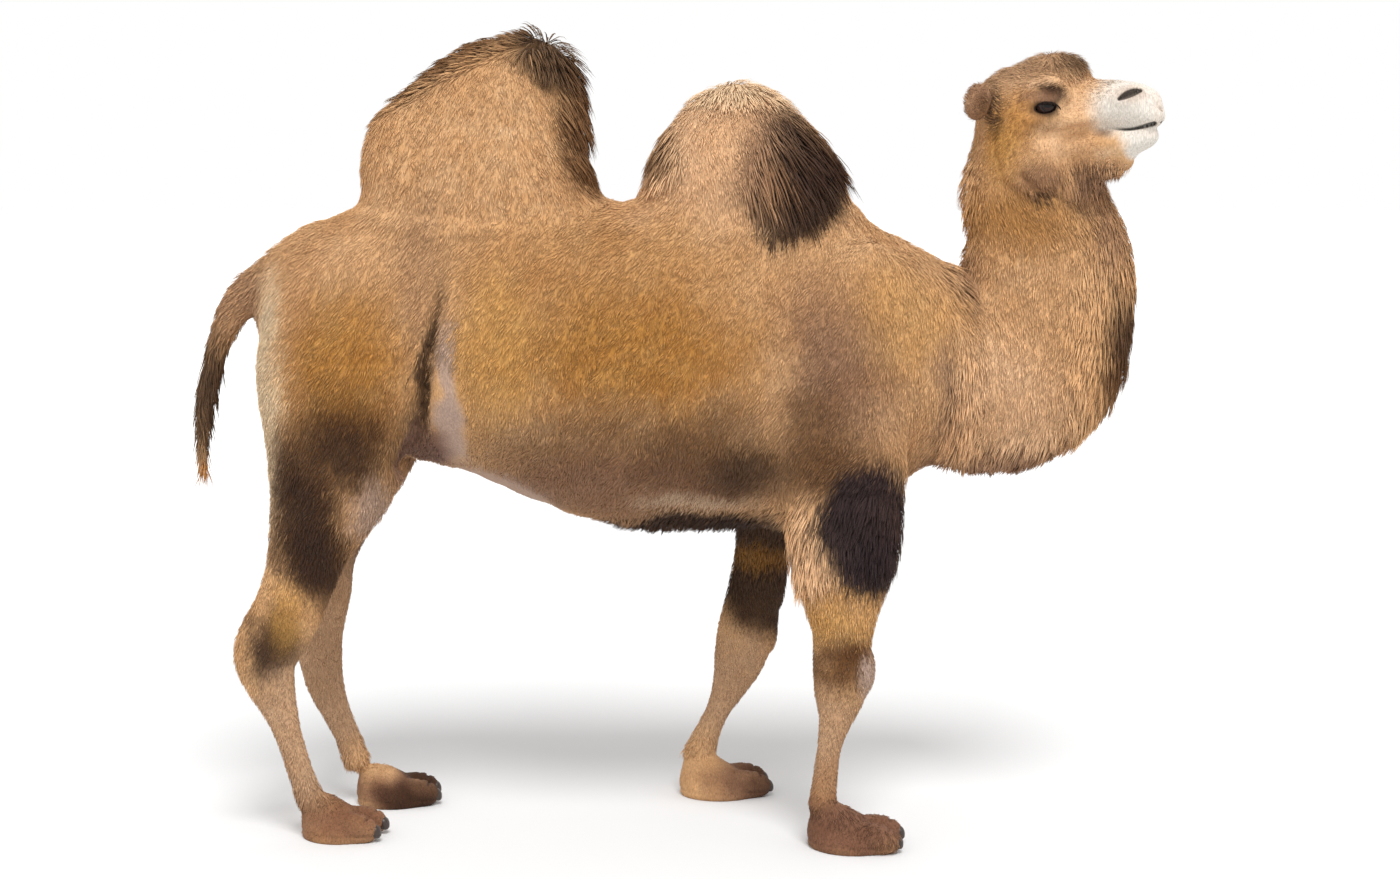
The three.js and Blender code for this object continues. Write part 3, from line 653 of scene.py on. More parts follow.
def make_skin():
    """The seamless skin: fine over the head and feet, coarser over the body."""
    body = region_mesh("body")
    cut_open(body, NECK_SEAM, False, lambda at: at.x > 700 and at.z > 1600)
    cut_open(body, ANKLE_SEAM, True, lambda at: at.z < 300)
    head = region_mesh("head")
    cut_open(head, NECK_SEAM + SEAM_WIDTH, True, lambda at: True)
    feet = region_mesh("feet")
    cut_open(feet, ANKLE_SEAM - SEAM_WIDTH, False, lambda at: True)
    for part in (head, feet):
        add_to(body, part)
    neck = open_edges_at(body, NECK_SEAM, NECK_SEAM + SEAM_WIDTH)
    bmesh.ops.bridge_loops(body, edges=neck)
    ankles = open_edges_at(body, ANKLE_SEAM, ANKLE_SEAM - SEAM_WIDTH)
    for heel, toe, y, _, _ in FEET.values():
        ring = [
            edge for edge in ankles
            if heel - HEEL_REACH < edge.verts[0].co.x < toe and edge.verts[0].co.y * y > 0
        ]
        bmesh.ops.bridge_loops(body, edges=ring)
    bmesh.ops.triangulate(body, faces=[face for face in body.faces if len(face.verts) > 4])
    bmesh.ops.recalc_face_normals(body, faces=body.faces)
    mesh = bpy.data.meshes.new("skin")
    body.to_mesh(mesh)
    mesh.shade_smooth()
    return mesh


# ---- Noise and soft patches ------------------------------------------------------------------------

MIX = np.array([0x9E3779B1, 0x85EBCA77, 0xC2B2AE3D], np.uint64)
SEED_STEP = 7919  # a prime, so that neighbouring seeds give unlike noise
CORNERS = np.array(list(itertools.product((0, 1), repeat=3)))
AROUND = np.array(list(itertools.product((-1, 0, 1), repeat=3)))


def hashed(cells, seed):
    """A number from -1 to 1 for each row of whole numbers."""
    mixed = (cells.astype(np.int64).astype(np.uint64) * MIX).sum(-1, dtype=np.uint64)
    mixed = mixed + np.uint64(seed * SEED_STEP)
    for shift, factor in ((15, 0x2C1B3C6D), (12, 0x297A2D39), (15, 0x9E3779B1)):
        mixed = (mixed ^ (mixed >> np.uint64(shift))) * np.uint64(factor)
    return ((mixed >> np.uint64(20)) & np.uint64(0xFFFF)).astype(float) / 0x8000 - 1


def noise(points, size, seed=0):
    """Smooth noise from -1 to 1, whose bumps are about `size` across."""
    scaled = points / size
    base = np.floor(scaled)
    t = scaled - base
    t = t * t * (3 - 2 * t)
    total = 0
    for corner in CORNERS:
        total = total + np.prod(np.where(corner, t, 1 - t), -1) * hashed(base + corner, seed)
    return total


def noise_vector(points, size, seed):
    return np.stack([noise(points, size, seed + axis) for axis in range(3)], -1)


def smoothstep(low, high, value):
    t = np.clip((value - low) / (high - low), 0, 1)
    return t * t * (3 - 2 * t)


def linear(text):
    """The linear colour of a web colour."""
    parts = np.array([int(text[i:i + 2], 16) / 255 for i in (1, 3, 5)])
    return np.where(parts <= 0.04045, parts / 12.92, ((parts + 0.055) / 1.055) ** 2.4)


def mix(a, b, share):
    return a + (b - a) * np.asarray(share)[..., None]


BOTH, RIGHT, LEFT = "both", "right", "left"


def placed(place, rows):
    """The rows of a table of soft patches, each with the place whose frame it is given in."""
    return [(place, *row) for row in rows]


def zone_mask(points, place, at, radii, soft, pitch=0, side=BOTH):
    """1 inside an ellipsoid, 0 outside, with a soft edge. It is given for the right side of the body."""
    local = place.inward(points)
    local[:, 1] = -np.abs(local[:, 1])
    near = np.linalg.norm(Place(at, pitch=pitch).inward(local) / radii, axis=-1)
    near = smoothstep(1 + soft, 1 - soft, near)
    if side != BOTH:
        near = near * (points[:, 1] < 0 if side == RIGHT else points[:, 1] > 0)
    return near


# ---- Markings --------------------------------------------------------------------------------------

TAN = linear("#c2976b")
SANDY = linear("#d3ab84")
OCHRE = linear("#a3702c")
GOLD = linear("#c3924c")
ORANGE = linear("#b5793b")
GREY_BROWN = linear("#835f47")
BROWN = linear("#553416")
DARK = linear("#2f1b0e")
BLACKISH = linear("#1b1012")
PLUM = linear("#271819")
CREAM = linear("#f1e9dd")
BUFF = linear("#e6cba6")
PALE = linear("#cbb294")
BARE = linear("#a58d7f")
MAUVE = linear("#6d4f43")
RED_BROWN = linear("#684534")
RUST = linear("#8e6442")
FAWN = linear("#ad8a6b")
RUSSET = linear("#9b7454")
# the painted shade inside the hollows of the face
HOLLOW_SHADE_COLOUR = linear("#140d0c")

# Colour, how strong it is, and its patch as zone_mask takes it. Later rows lie over earlier ones. A few
# rows are painted shade, as said where they stand.
MARKINGS = placed(BODY_PLACE, [
    (SANDY, 0.8, (150, 0, 1830), (300, 400, 210), 0.5),  # front hump
    (BUFF, 0.6, (180, 0, 2010), (150, 160, 50), 0.6),
    (GREY_BROWN, 0.3, (-680, -240, 1560), (60, 190, 190), 0.6),  # croup
    (OCHRE, 0.45, (-180, -300, 1560), (360, 260, 150), 0.6),  # flank
    (OCHRE, 0.85, (-120, -350, 1330), (340, 200, 160), 0.6),
    (GOLD, 0.6, (-480, -300, 1330), (110, 160, 190), 0.5),
    (GOLD, 0.4, (600, -260, 1420), (150, 160, 150), 0.5),  # in front of the shoulder
    # The browns of the belly below are partly its own colour and partly painted shade of its underside.
    (BROWN, 0.6, (-190, -290, 1070), (320, 190, 120), 0.6, 4),  # belly
    (GREY_BROWN, 0.8, (-170, -240, 960), (380, 200, 110), 0.5, 4),
    (BROWN, 0.6, (75, -290, 1080), (170, 150, 110), 0.6, 22),
    (DARK, 0.7, (185, -270, 1020), (110, 150, 80), 0.6, 20),
    (GREY_BROWN, 0.85, (410, -300, 1290), (135, 120, 210), 0.8, 16),  # shoulder
    (BROWN, 0.72, (355, -300, 1110), (115, 120, 130), 0.7, 14),
    (TAN, 0.7, (262, -320, 1260), (36, 120, 170), 0.7),  # strip behind the shoulder
    (BUFF, 0.95, (-1110, -200, 1200), (80, 190, 320), 0.45),  # buttock
    (OCHRE, 0.85, (-870, -310, 1280), (160, 140, 220), 0.6),  # thigh
    (BROWN, 0.9, (-862, -300, 1100), (135, 150, 125), 0.7, -10),
    (DARK, 0.7, (-882, -300, 1070), (100, 150, 90), 0.8, -10),
    (BROWN, 0.95, (-968, -240, 850), (96, 150, 250), 0.45, 14),
    (DARK, 0.85, (-975, -250, 850), (76, 100, 230), 0.6, 14),
    (BARE, 0.75, (-795, -250, 905), (62, 90, 100), 0.5),  # stifle
    (DARK, 0.95, (-1090, -215, 545), (80, 90, 110), 0.5),  # hock
    (GOLD, 0.5, (-1060, -235, 640), (50, 90, 90), 0.7, 0, RIGHT),
    (DARK, 0.85, (-676, -260, 1255), (17, 120, 240), 0.5, -13),  # painted shadow in the fold of the flank
    (BARE, 0.85, (-604, -270, 1270), (26, 110, 160), 0.5),  # bare groin
    (BARE, 0.9, (-610, -220, 1110), (62, 140, 110), 0.35),
    (BARE, 0.8, (-480, 0, 950), (170, 230, 70), 0.4, -18),
    (MAUVE, 0.9, (-690, -130, 1060), (90, 90, 130), 0.4),  # inside of the thigh: mauve skin, with painted shade of the pocket there
    (FAWN, 0.9, (-1040, -190, 260), (110, 90, 240), 0.3),  # near hind cannon
    (PALE, 0.5, (40, -215, 925), (150, 90, 26), 0.5),  # line above the belly's fringe
    (DARK, 0.98, (30, 0, 840), (270, 260, 56), 0.35),  # the fringe
    (DARK, 0.7, (200, 0, 870), (120, 160, 60), 0.5),  # behind the elbow
    (SANDY, 0.8, (350, -250, 800), (56, 120, 160), 0.5, 0, RIGHT),  # back of the forearm
    (BROWN, 0.7, (440, -300, 1015), (150, 150, 70), 0.6, 0, RIGHT),
    (PLUM, 0.98, (500, -300, 885), (126, 170, 160), 0.22, -4, RIGHT),  # cuff
    (PLUM, 0.95, (520, -300, 780), (100, 170, 90), 0.3, 0, RIGHT),
    (BLACKISH, 0.5, (470, -300, 900), (60, 170, 90), 0.8, 0, RIGHT),
    (GOLD, 0.7, (430, -250, 640), (110, 110, 85), 0.4, 0, RIGHT),
    (BROWN, 0.8, (452, -260, 545), (74, 80, 26), 0.5, 0, RIGHT),  # painted shade in the fold over the knee
    (BROWN, 0.95, (440, -260, 500), (95, 90, 90), 0.6, 0, RIGHT),
    (BARE, 0.85, (500, -255, 465), (34, 60, 70), 0.4, 0, RIGHT),  # callus
    (FAWN, 0.9, (400, -255, 300), (120, 90, 160), 0.4, 0, RIGHT),
    (RUST, 0.6, (395, -255, 150), (90, 90, 110), 0.5, 0, RIGHT),
    (DARK, 0.95, (250, -240, 700), (160, 140, 250), 0.2, 0, LEFT),  # far foreleg
    (OCHRE, 0.5, (235, -240, 700), (110, 140, 34), 0.7, 0, LEFT),
    (FAWN, 0.9, (130, -255, 330), (140, 90, 180), 0.4, 0, LEFT),
    (FAWN, 0.85, (-1000, -180, 500), (130, 100, 350), 0.4, 0, LEFT),  # far hind leg
    (RUST, 0.85, (-920, -168, 40), (200, 130, 90), 0.5, 0, RIGHT),  # feet
    (RED_BROWN, 0.8, (-880, -168, 40), (150, 130, 80), 0.7, 0, RIGHT),
    (RED_BROWN, 0.95, (490, -257, 50), (180, 150, 100), 0.4, 0, RIGHT),
    (RED_BROWN, 0.95, (-810, -165, 40), (160, 150, 80), 0.4, 0, LEFT),
    (DARK, 0.85, (-780, -165, 30), (120, 150, 70), 0.4, 0, LEFT),
    (RED_BROWN, 0.9, (190, -262, 40), (150, 140, 80), 0.5, 0, LEFT),
    (DARK, 0.6, (240, -262, 50), (80, 140, 60), 0.6, 0, LEFT),
    (SANDY, 0.9, (860, 0, 1200), (180, 260, 160), 0.6),  # low on the neck
    (GREY_BROWN, 0.5, (712, -200, 1200), (20, 120, 170), 0.7),  # painted shadow along its edge, under the hanging mane
    (GREY_BROWN, 0.85, (860, 0, 1010), (230, 200, 80), 0.5, 8),  # edge of the mane
    (BROWN, 0.9, (1190, 0, 1330), (75, 130, 200), 0.5, 6),  # front of the mane
    (DARK, 0.6, (1215, 0, 1380), (50, 130, 110), 0.5, 6),
    (GREY_BROWN, 0.7, (1130, 0, 1640), (70, 120, 140), 0.5, 30),
    (GREY_BROWN, 0.6, (770, 0, 1500), (50, 130, 130), 0.5),  # nape
    (OCHRE, 0.6, (900, -100, 1680), (150, 160, 90), 0.7),  # under the jaw
    (BROWN, 0.85, (-600, 0, 2106), (330, 120, 48), 0.5, 26),  # crest
    (DARK, 0.85, (-330, 0, 2110), (110, 130, 100), 0.4),
    (BROWN, 0.85, (-262, 0, 1920), (62, 140, 200), 0.4),
    (BROWN, 0.7, (-60, 0, 1880), (60, 140, 120), 0.5, 40),  # rear edge of the front hump
    (GREY_BROWN, 0.7, (250, -150, 1850), (90, 130, 150), 0.5, -30, RIGHT),
    (BROWN, 0.9, (330, 0, 1830), (80, 170, 190), 0.4, -40),  # front of it
    (BROWN, 0.7, (286, -170, 1850), (60, 120, 150), 0.6, -28, RIGHT),
    (DARK, 0.95, (345, -150, 1780), (96, 170, 190), 0.35, -30, RIGHT),
    (DARK, 0.85, (312, -110, 1900), (64, 140, 80), 0.5, 0, RIGHT),
    (GREY_BROWN, 0.6, (-1190, 0, 1460), (110, 90, 130), 0.5),  # tail
    (DARK, 0.9, (-1290, 0, 1210), (80, 80, 170), 0.4),
    (ORANGE, 0.9, (-1302, 0, 985), (70, 70, 60), 0.3),
]) + placed(HEAD, [
    (FAWN, 0.7, (90, 0, 120), (150, 120, 80), 0.5),  # crown
    (DARK, 0.75, (222, 0, 118), (46, 66, 30), 0.5),  # topknot
    (SANDY, 0.8, (256, -30, 74), (44, 36, 14), 0.6),  # pale patch in front of it
    (ORANGE, 0.45, (110, -96, -10), (46, 40, 60), 0.6),  # behind the eye
    (BROWN, 0.6, (160, -96, -44), (54, 40, 24), 0.6),  # under the eye
    (SANDY, 0.8, (212, -90, -88), (74, 50, 46), 0.6),  # cheekbone and jaw
    (RUSSET, 0.5, (250, -80, -118), (70, 50, 22), 0.6),
    (OCHRE, 0.6, (60, -90, -40), (60, 40, 70), 0.6),
    (SANDY, 0.85, (140, -92, 72), (66, 30, 14), 0.6),  # rim above the lid
    # partly the dark lids round the eye and partly painted shade round it
    (DARK, 0.9, (162, -98, 3), (44, 30, 26), 0.35),
    # painted shade in the hollow over the front of the eye, under the brow and lashes
    (DARK, 0.98, (184, -98, 38), (40, 30, 26), 0.45, -16),
    (GREY_BROWN, 0.7, (150, -98, 34), (50, 30, 16), 0.5),
    (SANDY, 0.85, (268, -60, -4), (70, 44, 60), 0.6),
    (CREAM, 1.0, (385, 0, 0), (120, 100, 84), 0.32),  # muzzle
    (CREAM, 1.0, (400, 0, -95), (72, 70, 46), 0.2),
    (GREY_BROWN, 0.6, (378, -50, 28), (50, 22, 24), 0.6),  # nostril's rim: partly grey-brown skin, partly painted shade round the nostril
    (BARE, 0.5, (446, 0, -6), (20, 60, 40), 0.6),
    (BARE, 0.4, (420, 0, -72), (34, 60, 14), 0.7),
    (BROWN, 0.7, (308, -44, -62), (24, 24, 16), 0.6),  # corner of the mouth
    (PALE, 0.8, (322, 0, -118), (46, 50, 20), 0.5),
    (GREY_BROWN, 0.75, (150, -90, -182), (70, 40, 40), 0.6),  # cheek
    (GOLD, 0.6, (40, -90, -110), (50, 40, 70), 0.6),
    # painted shade in the crease where the jaw meets the throat
    (DARK, 0.9, (146, -90, -226), (52, 30, 12), 0.6),
    (RUSSET, 0.85, (300, 0, -175), (74, 70, 40), 0.5),  # beard
    (GREY_BROWN, 0.6, (240, 0, -195), (80, 70, 60), 0.5),
    (DARK, 0.6, (250, 0, -168), (44, 70, 16), 0.6),
    (BROWN, 0.7, (262, 0, -235), (70, 70, 26), 0.5),
    (DARK, 0.85, (28, -92, 6), (18, 40, 66), 0.6),  # before the ear: dark hair, with painted shade between the ear and the head
    (GREY_BROWN, 0.85, (-14, -110, 22), (56, 40, 70), 0.4),  # inside the ear: its own browner hair, with painted shade of the cup
    (BROWN, 0.7, (2, -110, 2), (24, 40, 34), 0.6),
    (FAWN, 0.7, (-54, -112, 40), (16, 40, 56), 0.5),  # rim of the ear
])
BODY_WAVES = ((26, 110, 3), (13, 36, 11))  # of a marking's edge: how far, how wide and its noise's seed
FACE_WAVES = ((5, 22, 3),)
TONE = 1.3  # lifts the colours as seen to those of the hairs themselves, which shade each other
BRIGHTEST = 0.82
HOLLOW_REACH = 12  # how far from its box a hollow still counts
HOLLOW_EDGE = (2.5, -1)  # painted shade darkens the colour near a hollow, between these distances from it
# how strong the painted shade of the hollows is
HOLLOW_SHADE = 0.95
LEAST_WOOL = 0.3  # how much of the mottling is left where there is no wool
# Where the coat is woolly.
WOOLLY = placed(BODY_PLACE, [
    ((-60, 0, 1230), (440, 500, 280), 0.5),  # flanks
    ((-870, 0, 1180), (200, 500, 300), 0.5),  # thighs
    ((-500, 0, 1850), (300, 400, 200), 0.5),  # rear hump
])


def hollow_depth(points):
    """How near the points are to the cut hollows of the face."""
    depth = np.full(len(points), FAR)
    for form in HOLLOWS:
        near = points_near(form, points, HOLLOW_REACH)
        if len(near):
            depth[near] = np.minimum(depth[near], form.distance(points[near]))
    return depth


def wool_of_coat(points):
    """How woolly the coat is, 0 to 1."""
    return np.max([zone_mask(points, *patch) for patch in WOOLLY], 0)


def waved(points, waves):
    """Points moved about by noise, so that the edges of the markings wander."""
    moved = points
    for reach, size, seed in waves:
        moved = moved + reach * noise_vector(points, size, seed)
    return moved


def coat_colour(points):
    """The markings, in linear colour, mottled most where the coat is woolly, with painted shade in the
    hollows of the face. A few markings are painted shade too.
    """
    edges = {BODY_PLACE: waved(points, BODY_WAVES), HEAD: waved(points, FACE_WAVES)}
    colour = np.tile(TAN, (len(points), 1))
    for place, paint, strength, *patch in MARKINGS:
        colour = mix(colour, paint, zone_mask(edges[place], place, *patch) * strength)
    wool = LEAST_WOOL + (1 - LEAST_WOOL) * wool_of_coat(points)
    broad = 0.07 * noise(points, 90, 21)
    fine = 0.09 * noise(points, 34, 22) + 0.11 * noise(points, 15, 23)
    deeper = 1 + broad + wool * fine
    colour = TONE * colour ** deeper[:, None]
    colour *= np.minimum(1, BRIGHTEST / colour.max(-1))[:, None]
    # painted shade in and round the hollows of the face
    return mix(colour, HOLLOW_SHADE_COLOUR, smoothstep(*HOLLOW_EDGE, hollow_depth(points)) * HOLLOW_SHADE)


# ---- The coat --------------------------------------------------------------------------------------

# What a zone of the coat says: length, half width of a tuft, lift in degrees, spacing of the tufts.
PLAIN_COAT = (26, 1.7, 15, 6.4)
ZONES = placed(BODY_PLACE, [
    ((30, 1.8, 13, 7.0), (900, 0, 1400), (400, 300, 420), 0.2),  # neck
    ((56, 2.7, 12, 8.8), (1120, 0, 1330), (140, 160, 330), 0.3),  # mane of the throat
    ((44, 2.4, 8, 8.0), (930, 0, 1050), (170, 170, 90), 0.3),
    ((27, 1.7, 12, 6.6), (-500, 0, 1850), (420, 350, 240), 0.2),
    ((52, 2.4, 28, 7.6), (-600, 0, 2086), (330, 90, 50), 0.4, 26),  # crest
    ((70, 2.4, 38, 7.0), (-345, 0, 2120), (90, 90, 64), 0.5),
    ((80, 2.6, 15, 8.0), (-262, 0, 1960), (70, 110, 210), 0.3),
    ((28, 1.7, 15, 6.8), (150, 0, 1850), (330, 300, 190), 0.2),
    ((40, 2.0, 26, 7.0), (160, 0, 2010), (150, 160, 60), 0.4),
    ((60, 3.0, 24, 9.5), (-70, 0, 1860), (80, 150, 150), 0.3, 40),
    ((70, 2.8, 16, 9.0), (330, 0, 1830), (90, 170, 180), 0.3, -38),
    ((110, 3.0, 14, 8.6), (300, -150, 1810), (96, 150, 160), 0.3, -35, RIGHT),
    ((15, 1.6, 10, 6.2), (-1000, 0, 500), (250, 300, 370), 0.15),  # hind legs
    ((42, 2.2, 18, 7.4), (455, 0, 860), (210, 500, 190), 0.3),  # cuffs of the forelegs
    ((60, 2.4, 28, 7.6), (335, -250, 830), (50, 120, 120), 0.4, 0, RIGHT),
    ((15, 1.6, 10, 6.2), (330, 0, 360), (400, 500, 290), 0.12),
    ((7, 1.2, 10, 5.6), (-240, 0, 20), (1100, 500, 120), 0.12),  # feet
    ((38, 1.8, 40, 6.4), (20, 0, 845), (250, 190, 40), 0.3),  # fringe of the belly
    ((52, 1.9, 32, 7.0), (752, 0, 1520), (56, 120, 250), 0.4),  # nape
    ((50, 2.0, 24, 6.6), (760, 0, 1180), (60, 260, 200), 0.4),  # rear edge of the neck
    ((30, 2.2, 16, 7.4), (-1150, 0, 1480), (150, 90, 150), 0.3),  # tail
    ((62, 1.6, 6, 6.0), (-1295, 0, 1150), (100, 90, 230), 0.2),
    ((5, 1.2, 8, 16.0), (-606, -230, 1150), (48, 160, 160), 0.3),  # bare groin
    ((8, 1.2, 10, 7.6), (-480, 0, 950), (160, 220, 60), 0.3, -18),
]) + placed(HEAD, [
    ((18, 1.0, 13, 4.5), (60, 0, -30), (240, 200, 260), 0.2),
    ((9, 0.8, 9, 3.7), (230, 0, -40), (170, 130, 120), 0.25),  # face
    ((4.5, 0.6, 7, 4.2), (395, 0, -40), (110, 120, 120), 0.15),  # muzzle
    ((22, 0.95, 26, 4.0), (120, 0, 100), (120, 100, 70), 0.4),  # crown
    ((28, 1.0, 28, 4.2), (190, 0, 125), (86, 74, 52), 0.4),  # topknot
    ((42, 1.4, 12, 5.2), (240, 0, -195), (90, 80, 70), 0.3),  # beard
    ((34, 1.4, 20, 5.2), (310, 0, -172), (64, 50, 34), 0.4),
    ((34, 1.4, 13, 5.8), (90, 0, -270), (170, 160, 90), 0.3),  # throat
    ((6, 0.8, 10, 3.7), (160, -92, 8), (48, 40, 46), 0.25),  # round the eye
    ((13, 0.9, 24, 3.5), (-14, -100, 24), (56, 40, 74), 0.2),  # ear
]) + placed(BODY_PLACE, [
    ((44, 1.7, 32, 6.0), (764, 0, 1740), (56, 120, 130), 0.5),  # hair behind the head
]) + placed(HEAD, [
    ((28, 1.2, 22, 4.2), (26, -86, 4), (22, 34, 62), 0.3),  # hair before the ear
])

# Which way the hair lies: later rows take over from earlier ones.
LIE = placed(BODY_PLACE, [
    ((-0.45, 0, -1), (0, 0, 1200), (4000, 4000, 4000), 0.3),
    ((-0.1, 0, -1), (950, 0, 1450), (330, 300, 500), 0.2),  # neck
    ((-0.12, 0, -1), (-500, 0, 1900), (460, 350, 260), 0.3),  # humps
    ((0.12, 0, -1), (170, 0, 1850), (330, 300, 240), 0.3),
    ((-1, 0, 0.35), (-600, 0, 2085), (360, 90, 60), 0.3, 26),  # crest
    ((0.5, 0, -1), (-270, 0, 1930), (90, 130, 230), 0.3),
    ((-0.4, 0, -1), (-70, 0, 1860), (90, 150, 150), 0.3),
    ((0.35, 0, -1), (300, 0, 1820), (150, 190, 200), 0.3),
    ((-0.1, 0, -1), (0, 0, 300), (4000, 4000, 560), 0.15),  # legs
    ((-1, 0, -0.9), (-1130, 0, 1490), (150, 120, 130), 0.3),  # tail
    ((-0.1, 0, -1), (-1300, 0, 1130), (120, 120, 270), 0.2),
]) + placed(HEAD, [
    ((-1, 0, -0.3), (240, 0, -20), (280, 200, 200), 0.15),  # face
    ((-0.6, 0, -1), (100, 0, -120), (130, 200, 130), 0.3),  # cheek
    ((-1, 0, 0.0), (60, 0, 90), (150, 120, 70), 0.3),
    ((1, -0.4, -0.7), (225, 0, 118), (60, 80, 54), 0.9),  # topknot
    ((0.35, 0, -1), (180, 0, -250), (200, 160, 110), 0.3),  # throat
    ((0.1, 0, -1), (270, 0, -180), (110, 80, 70), 0.3),  # beard
    ((-0.6, -0.3, 0.6), (-10, -100, 24), (70, 50, 80), 0.2),  # ear
])

RING_SIDES = ((0, 1), (1, 2), (2, 0))
SHORTEST_LOCK = 38  # tufts this long are locks with more steps along them
LONGEST_SPIKE = 12  # and those under this are plain spikes
CLUMP = {"spike": 11, "tuft": 24, "lock": 42}  # how far apart the clumps of each kind are
STEPS = {"spike": (0.4,), "tuft": (0.45,), "lock": (0.25, 0.5, 0.78)}
RIDGE = 0.5  # height of a tuft's ridge, as a share of its half width
CURL_PATCH = 150  # how wide the patches of curled wool are
LEAST_CURL = 0.2  # where there is no wool
CLUMP_REACH = 0.62  # from a clump's middle to its edge, in the clumps' own spacing
CLUMP_EDGE = 0.4  # from here inwards, a clump stands up and takes painted light, and outside it painted shade darkens the clump's edge
JITTER = 0.42  # how far a clump's middle may lie from its cell's, in cells
# How tufts differ: the first of a pair goes with the clump, and the second is each tuft's own.
LENGTH_VARIES = (0.15, 0.28)
LIFT_VARIES = (0.3, 5)  # a share, then degrees
SWING_VARIES = (18, 11)  # degrees
LIGHT_VARIES = (0.07, 0.08)
WIDTH_RANGE = (0.7, 1.25)
PULL_RANGE = (0.5, 1.3)  # of the way that a tuft is drawn to its clump's middle
# Painted shade darkens each tuft at its root; its tip is lighter, partly paler hair of its own and partly
# painted light.
ROOT_PAINTED_SHADE, TIP_PALER_AND_LIT = 0.86, 1.08
STRAY = 9  # how far a tuft's colour may come from, so that hairs of two markings mingle
STRAY_LENGTH = 26  # tufts shorter than this stray less
ROOT_DEPTH = 2.0  # how far a root lies under the skin
DROOP = {"spike": 0.0, "tuft": 0.05, "lock": 0.2}  # how much the tips hang
FLOOR_GAP = 1.0
HOLLOW_CLEARANCE = 2.5
BARE_HEIGHT = 5  # no hair on the soles


def coat_values(points):
    """Length, half width, lift and spacing of the tufts at each point."""
    values = np.tile(np.array(PLAIN_COAT, float), (len(points), 1))
    for place, zone, *patch in ZONES:
        values = mix(values, np.array(zone, float), zone_mask(points, place, *patch))
    return values.T


def curl_of_coat(points):
    """Where the wool gathers in clumps, 0 to 1: in patches, and most on the flank."""
    wool = LEAST_CURL + (1 - LEAST_CURL) * wool_of_coat(points)
    return smoothstep(-0.6, 0.6, noise(points, CURL_PATCH, 61)) * wool


def lie_of_coat(points, normals):
    """The unit direction the hair lies in, along the skin."""
    direction = np.zeros((len(points), 3))
    for place, toward, *patch in LIE:
        right = place.outward_direction(toward)
        across = np.where(place.inward(points)[:, 1] < 0, 1, -1)
        mirrored = place.outward_direction(np.array(toward) * (1, -1, 1))
        both = np.where(across[:, None] > 0, right, mirrored)
        direction = mix(direction, both, zone_mask(points, place, *patch))
    wave = 0.14 + 0.5 * curl_of_coat(points)
    direction += 0.25 * noise_vector(points, 130, 31) + wave[:, None] * noise_vector(points, 26, 37)
    along = direction - (direction * normals).sum(-1)[:, None] * normals
    return along / np.maximum(np.linalg.norm(along, axis=-1), 1e-6)[:, None]


def nearest_clump(points, size, seed):
    """The nearest of scattered clump centres, one in each cell, and two random numbers of its own."""
    base = np.floor(points / size)
    best = np.full(len(points), np.inf)
    centre = np.zeros_like(points)
    cell = np.zeros_like(base)
    for offset in AROUND:
        tried = base + offset
        jitter = np.stack([hashed(tried, seed + axis) for axis in range(3)], -1)
        at = (tried + 0.5 + JITTER * jitter) * size
        far = ((at - points) ** 2).sum(-1)
        closer = far < best
        best[closer], centre[closer], cell[closer] = far[closer], at[closer], tried[closer]
    return centre, hashed(cell, seed + 5), hashed(cell, seed + 6)


def scatter_roots(points, normals, triangles, share, random):
    """Roots spread over the skin at each zone's spacing, with their normals."""
    corners = points[triangles]
    across = np.cross(corners[:, 1] - corners[:, 0], corners[:, 2] - corners[:, 0])
    area = np.linalg.norm(across, axis=-1) / 2
    middle = corners.mean(1)
    spacing = coat_values(middle)[3]
    wanted = share * area / spacing ** 2
    wanted[(hollow_depth(middle) < HOLLOW_CLEARANCE) | (middle[:, 2] < BARE_HEIGHT)] = 0
    count = np.floor(wanted + random.random(len(wanted))).astype(int)
    chosen = np.repeat(np.arange(len(count)), count)
    u, v = random.random((2, len(chosen)))
    flip = u + v > 1
    u, v = np.where(flip, 1 - u, u), np.where(flip, 1 - v, v)
    weights = np.stack([1 - u - v, u, v], -1)[..., None]
    roots = (corners[chosen] * weights).sum(1)
    facing = (normals[triangles[chosen]] * weights).sum(1)
    return roots, facing / np.linalg.norm(facing, axis=-1)[:, None]


def ring_faces(rings, first):
    """Triangles round rings of three points, from the point `first` on, closed by the tip after them."""
    faces = []
    for step in range(rings):
        for a, b in RING_SIDES:
            near, across = first + 3 * step + a, first + 3 * step + b
            if step < rings - 1:
                faces += [(near, across, across + 3), (near, across + 3, near + 3)]
            else:
                faces.append((near, across, first + 3 * rings))
    return faces


def tuft_faces(rings):
    """Triangles of a closed tuft: a root point, rings of three and a tip."""
    return np.array([(0, 1 + b, 1 + a) for a, b in RING_SIDES] + ring_faces(rings, 1))


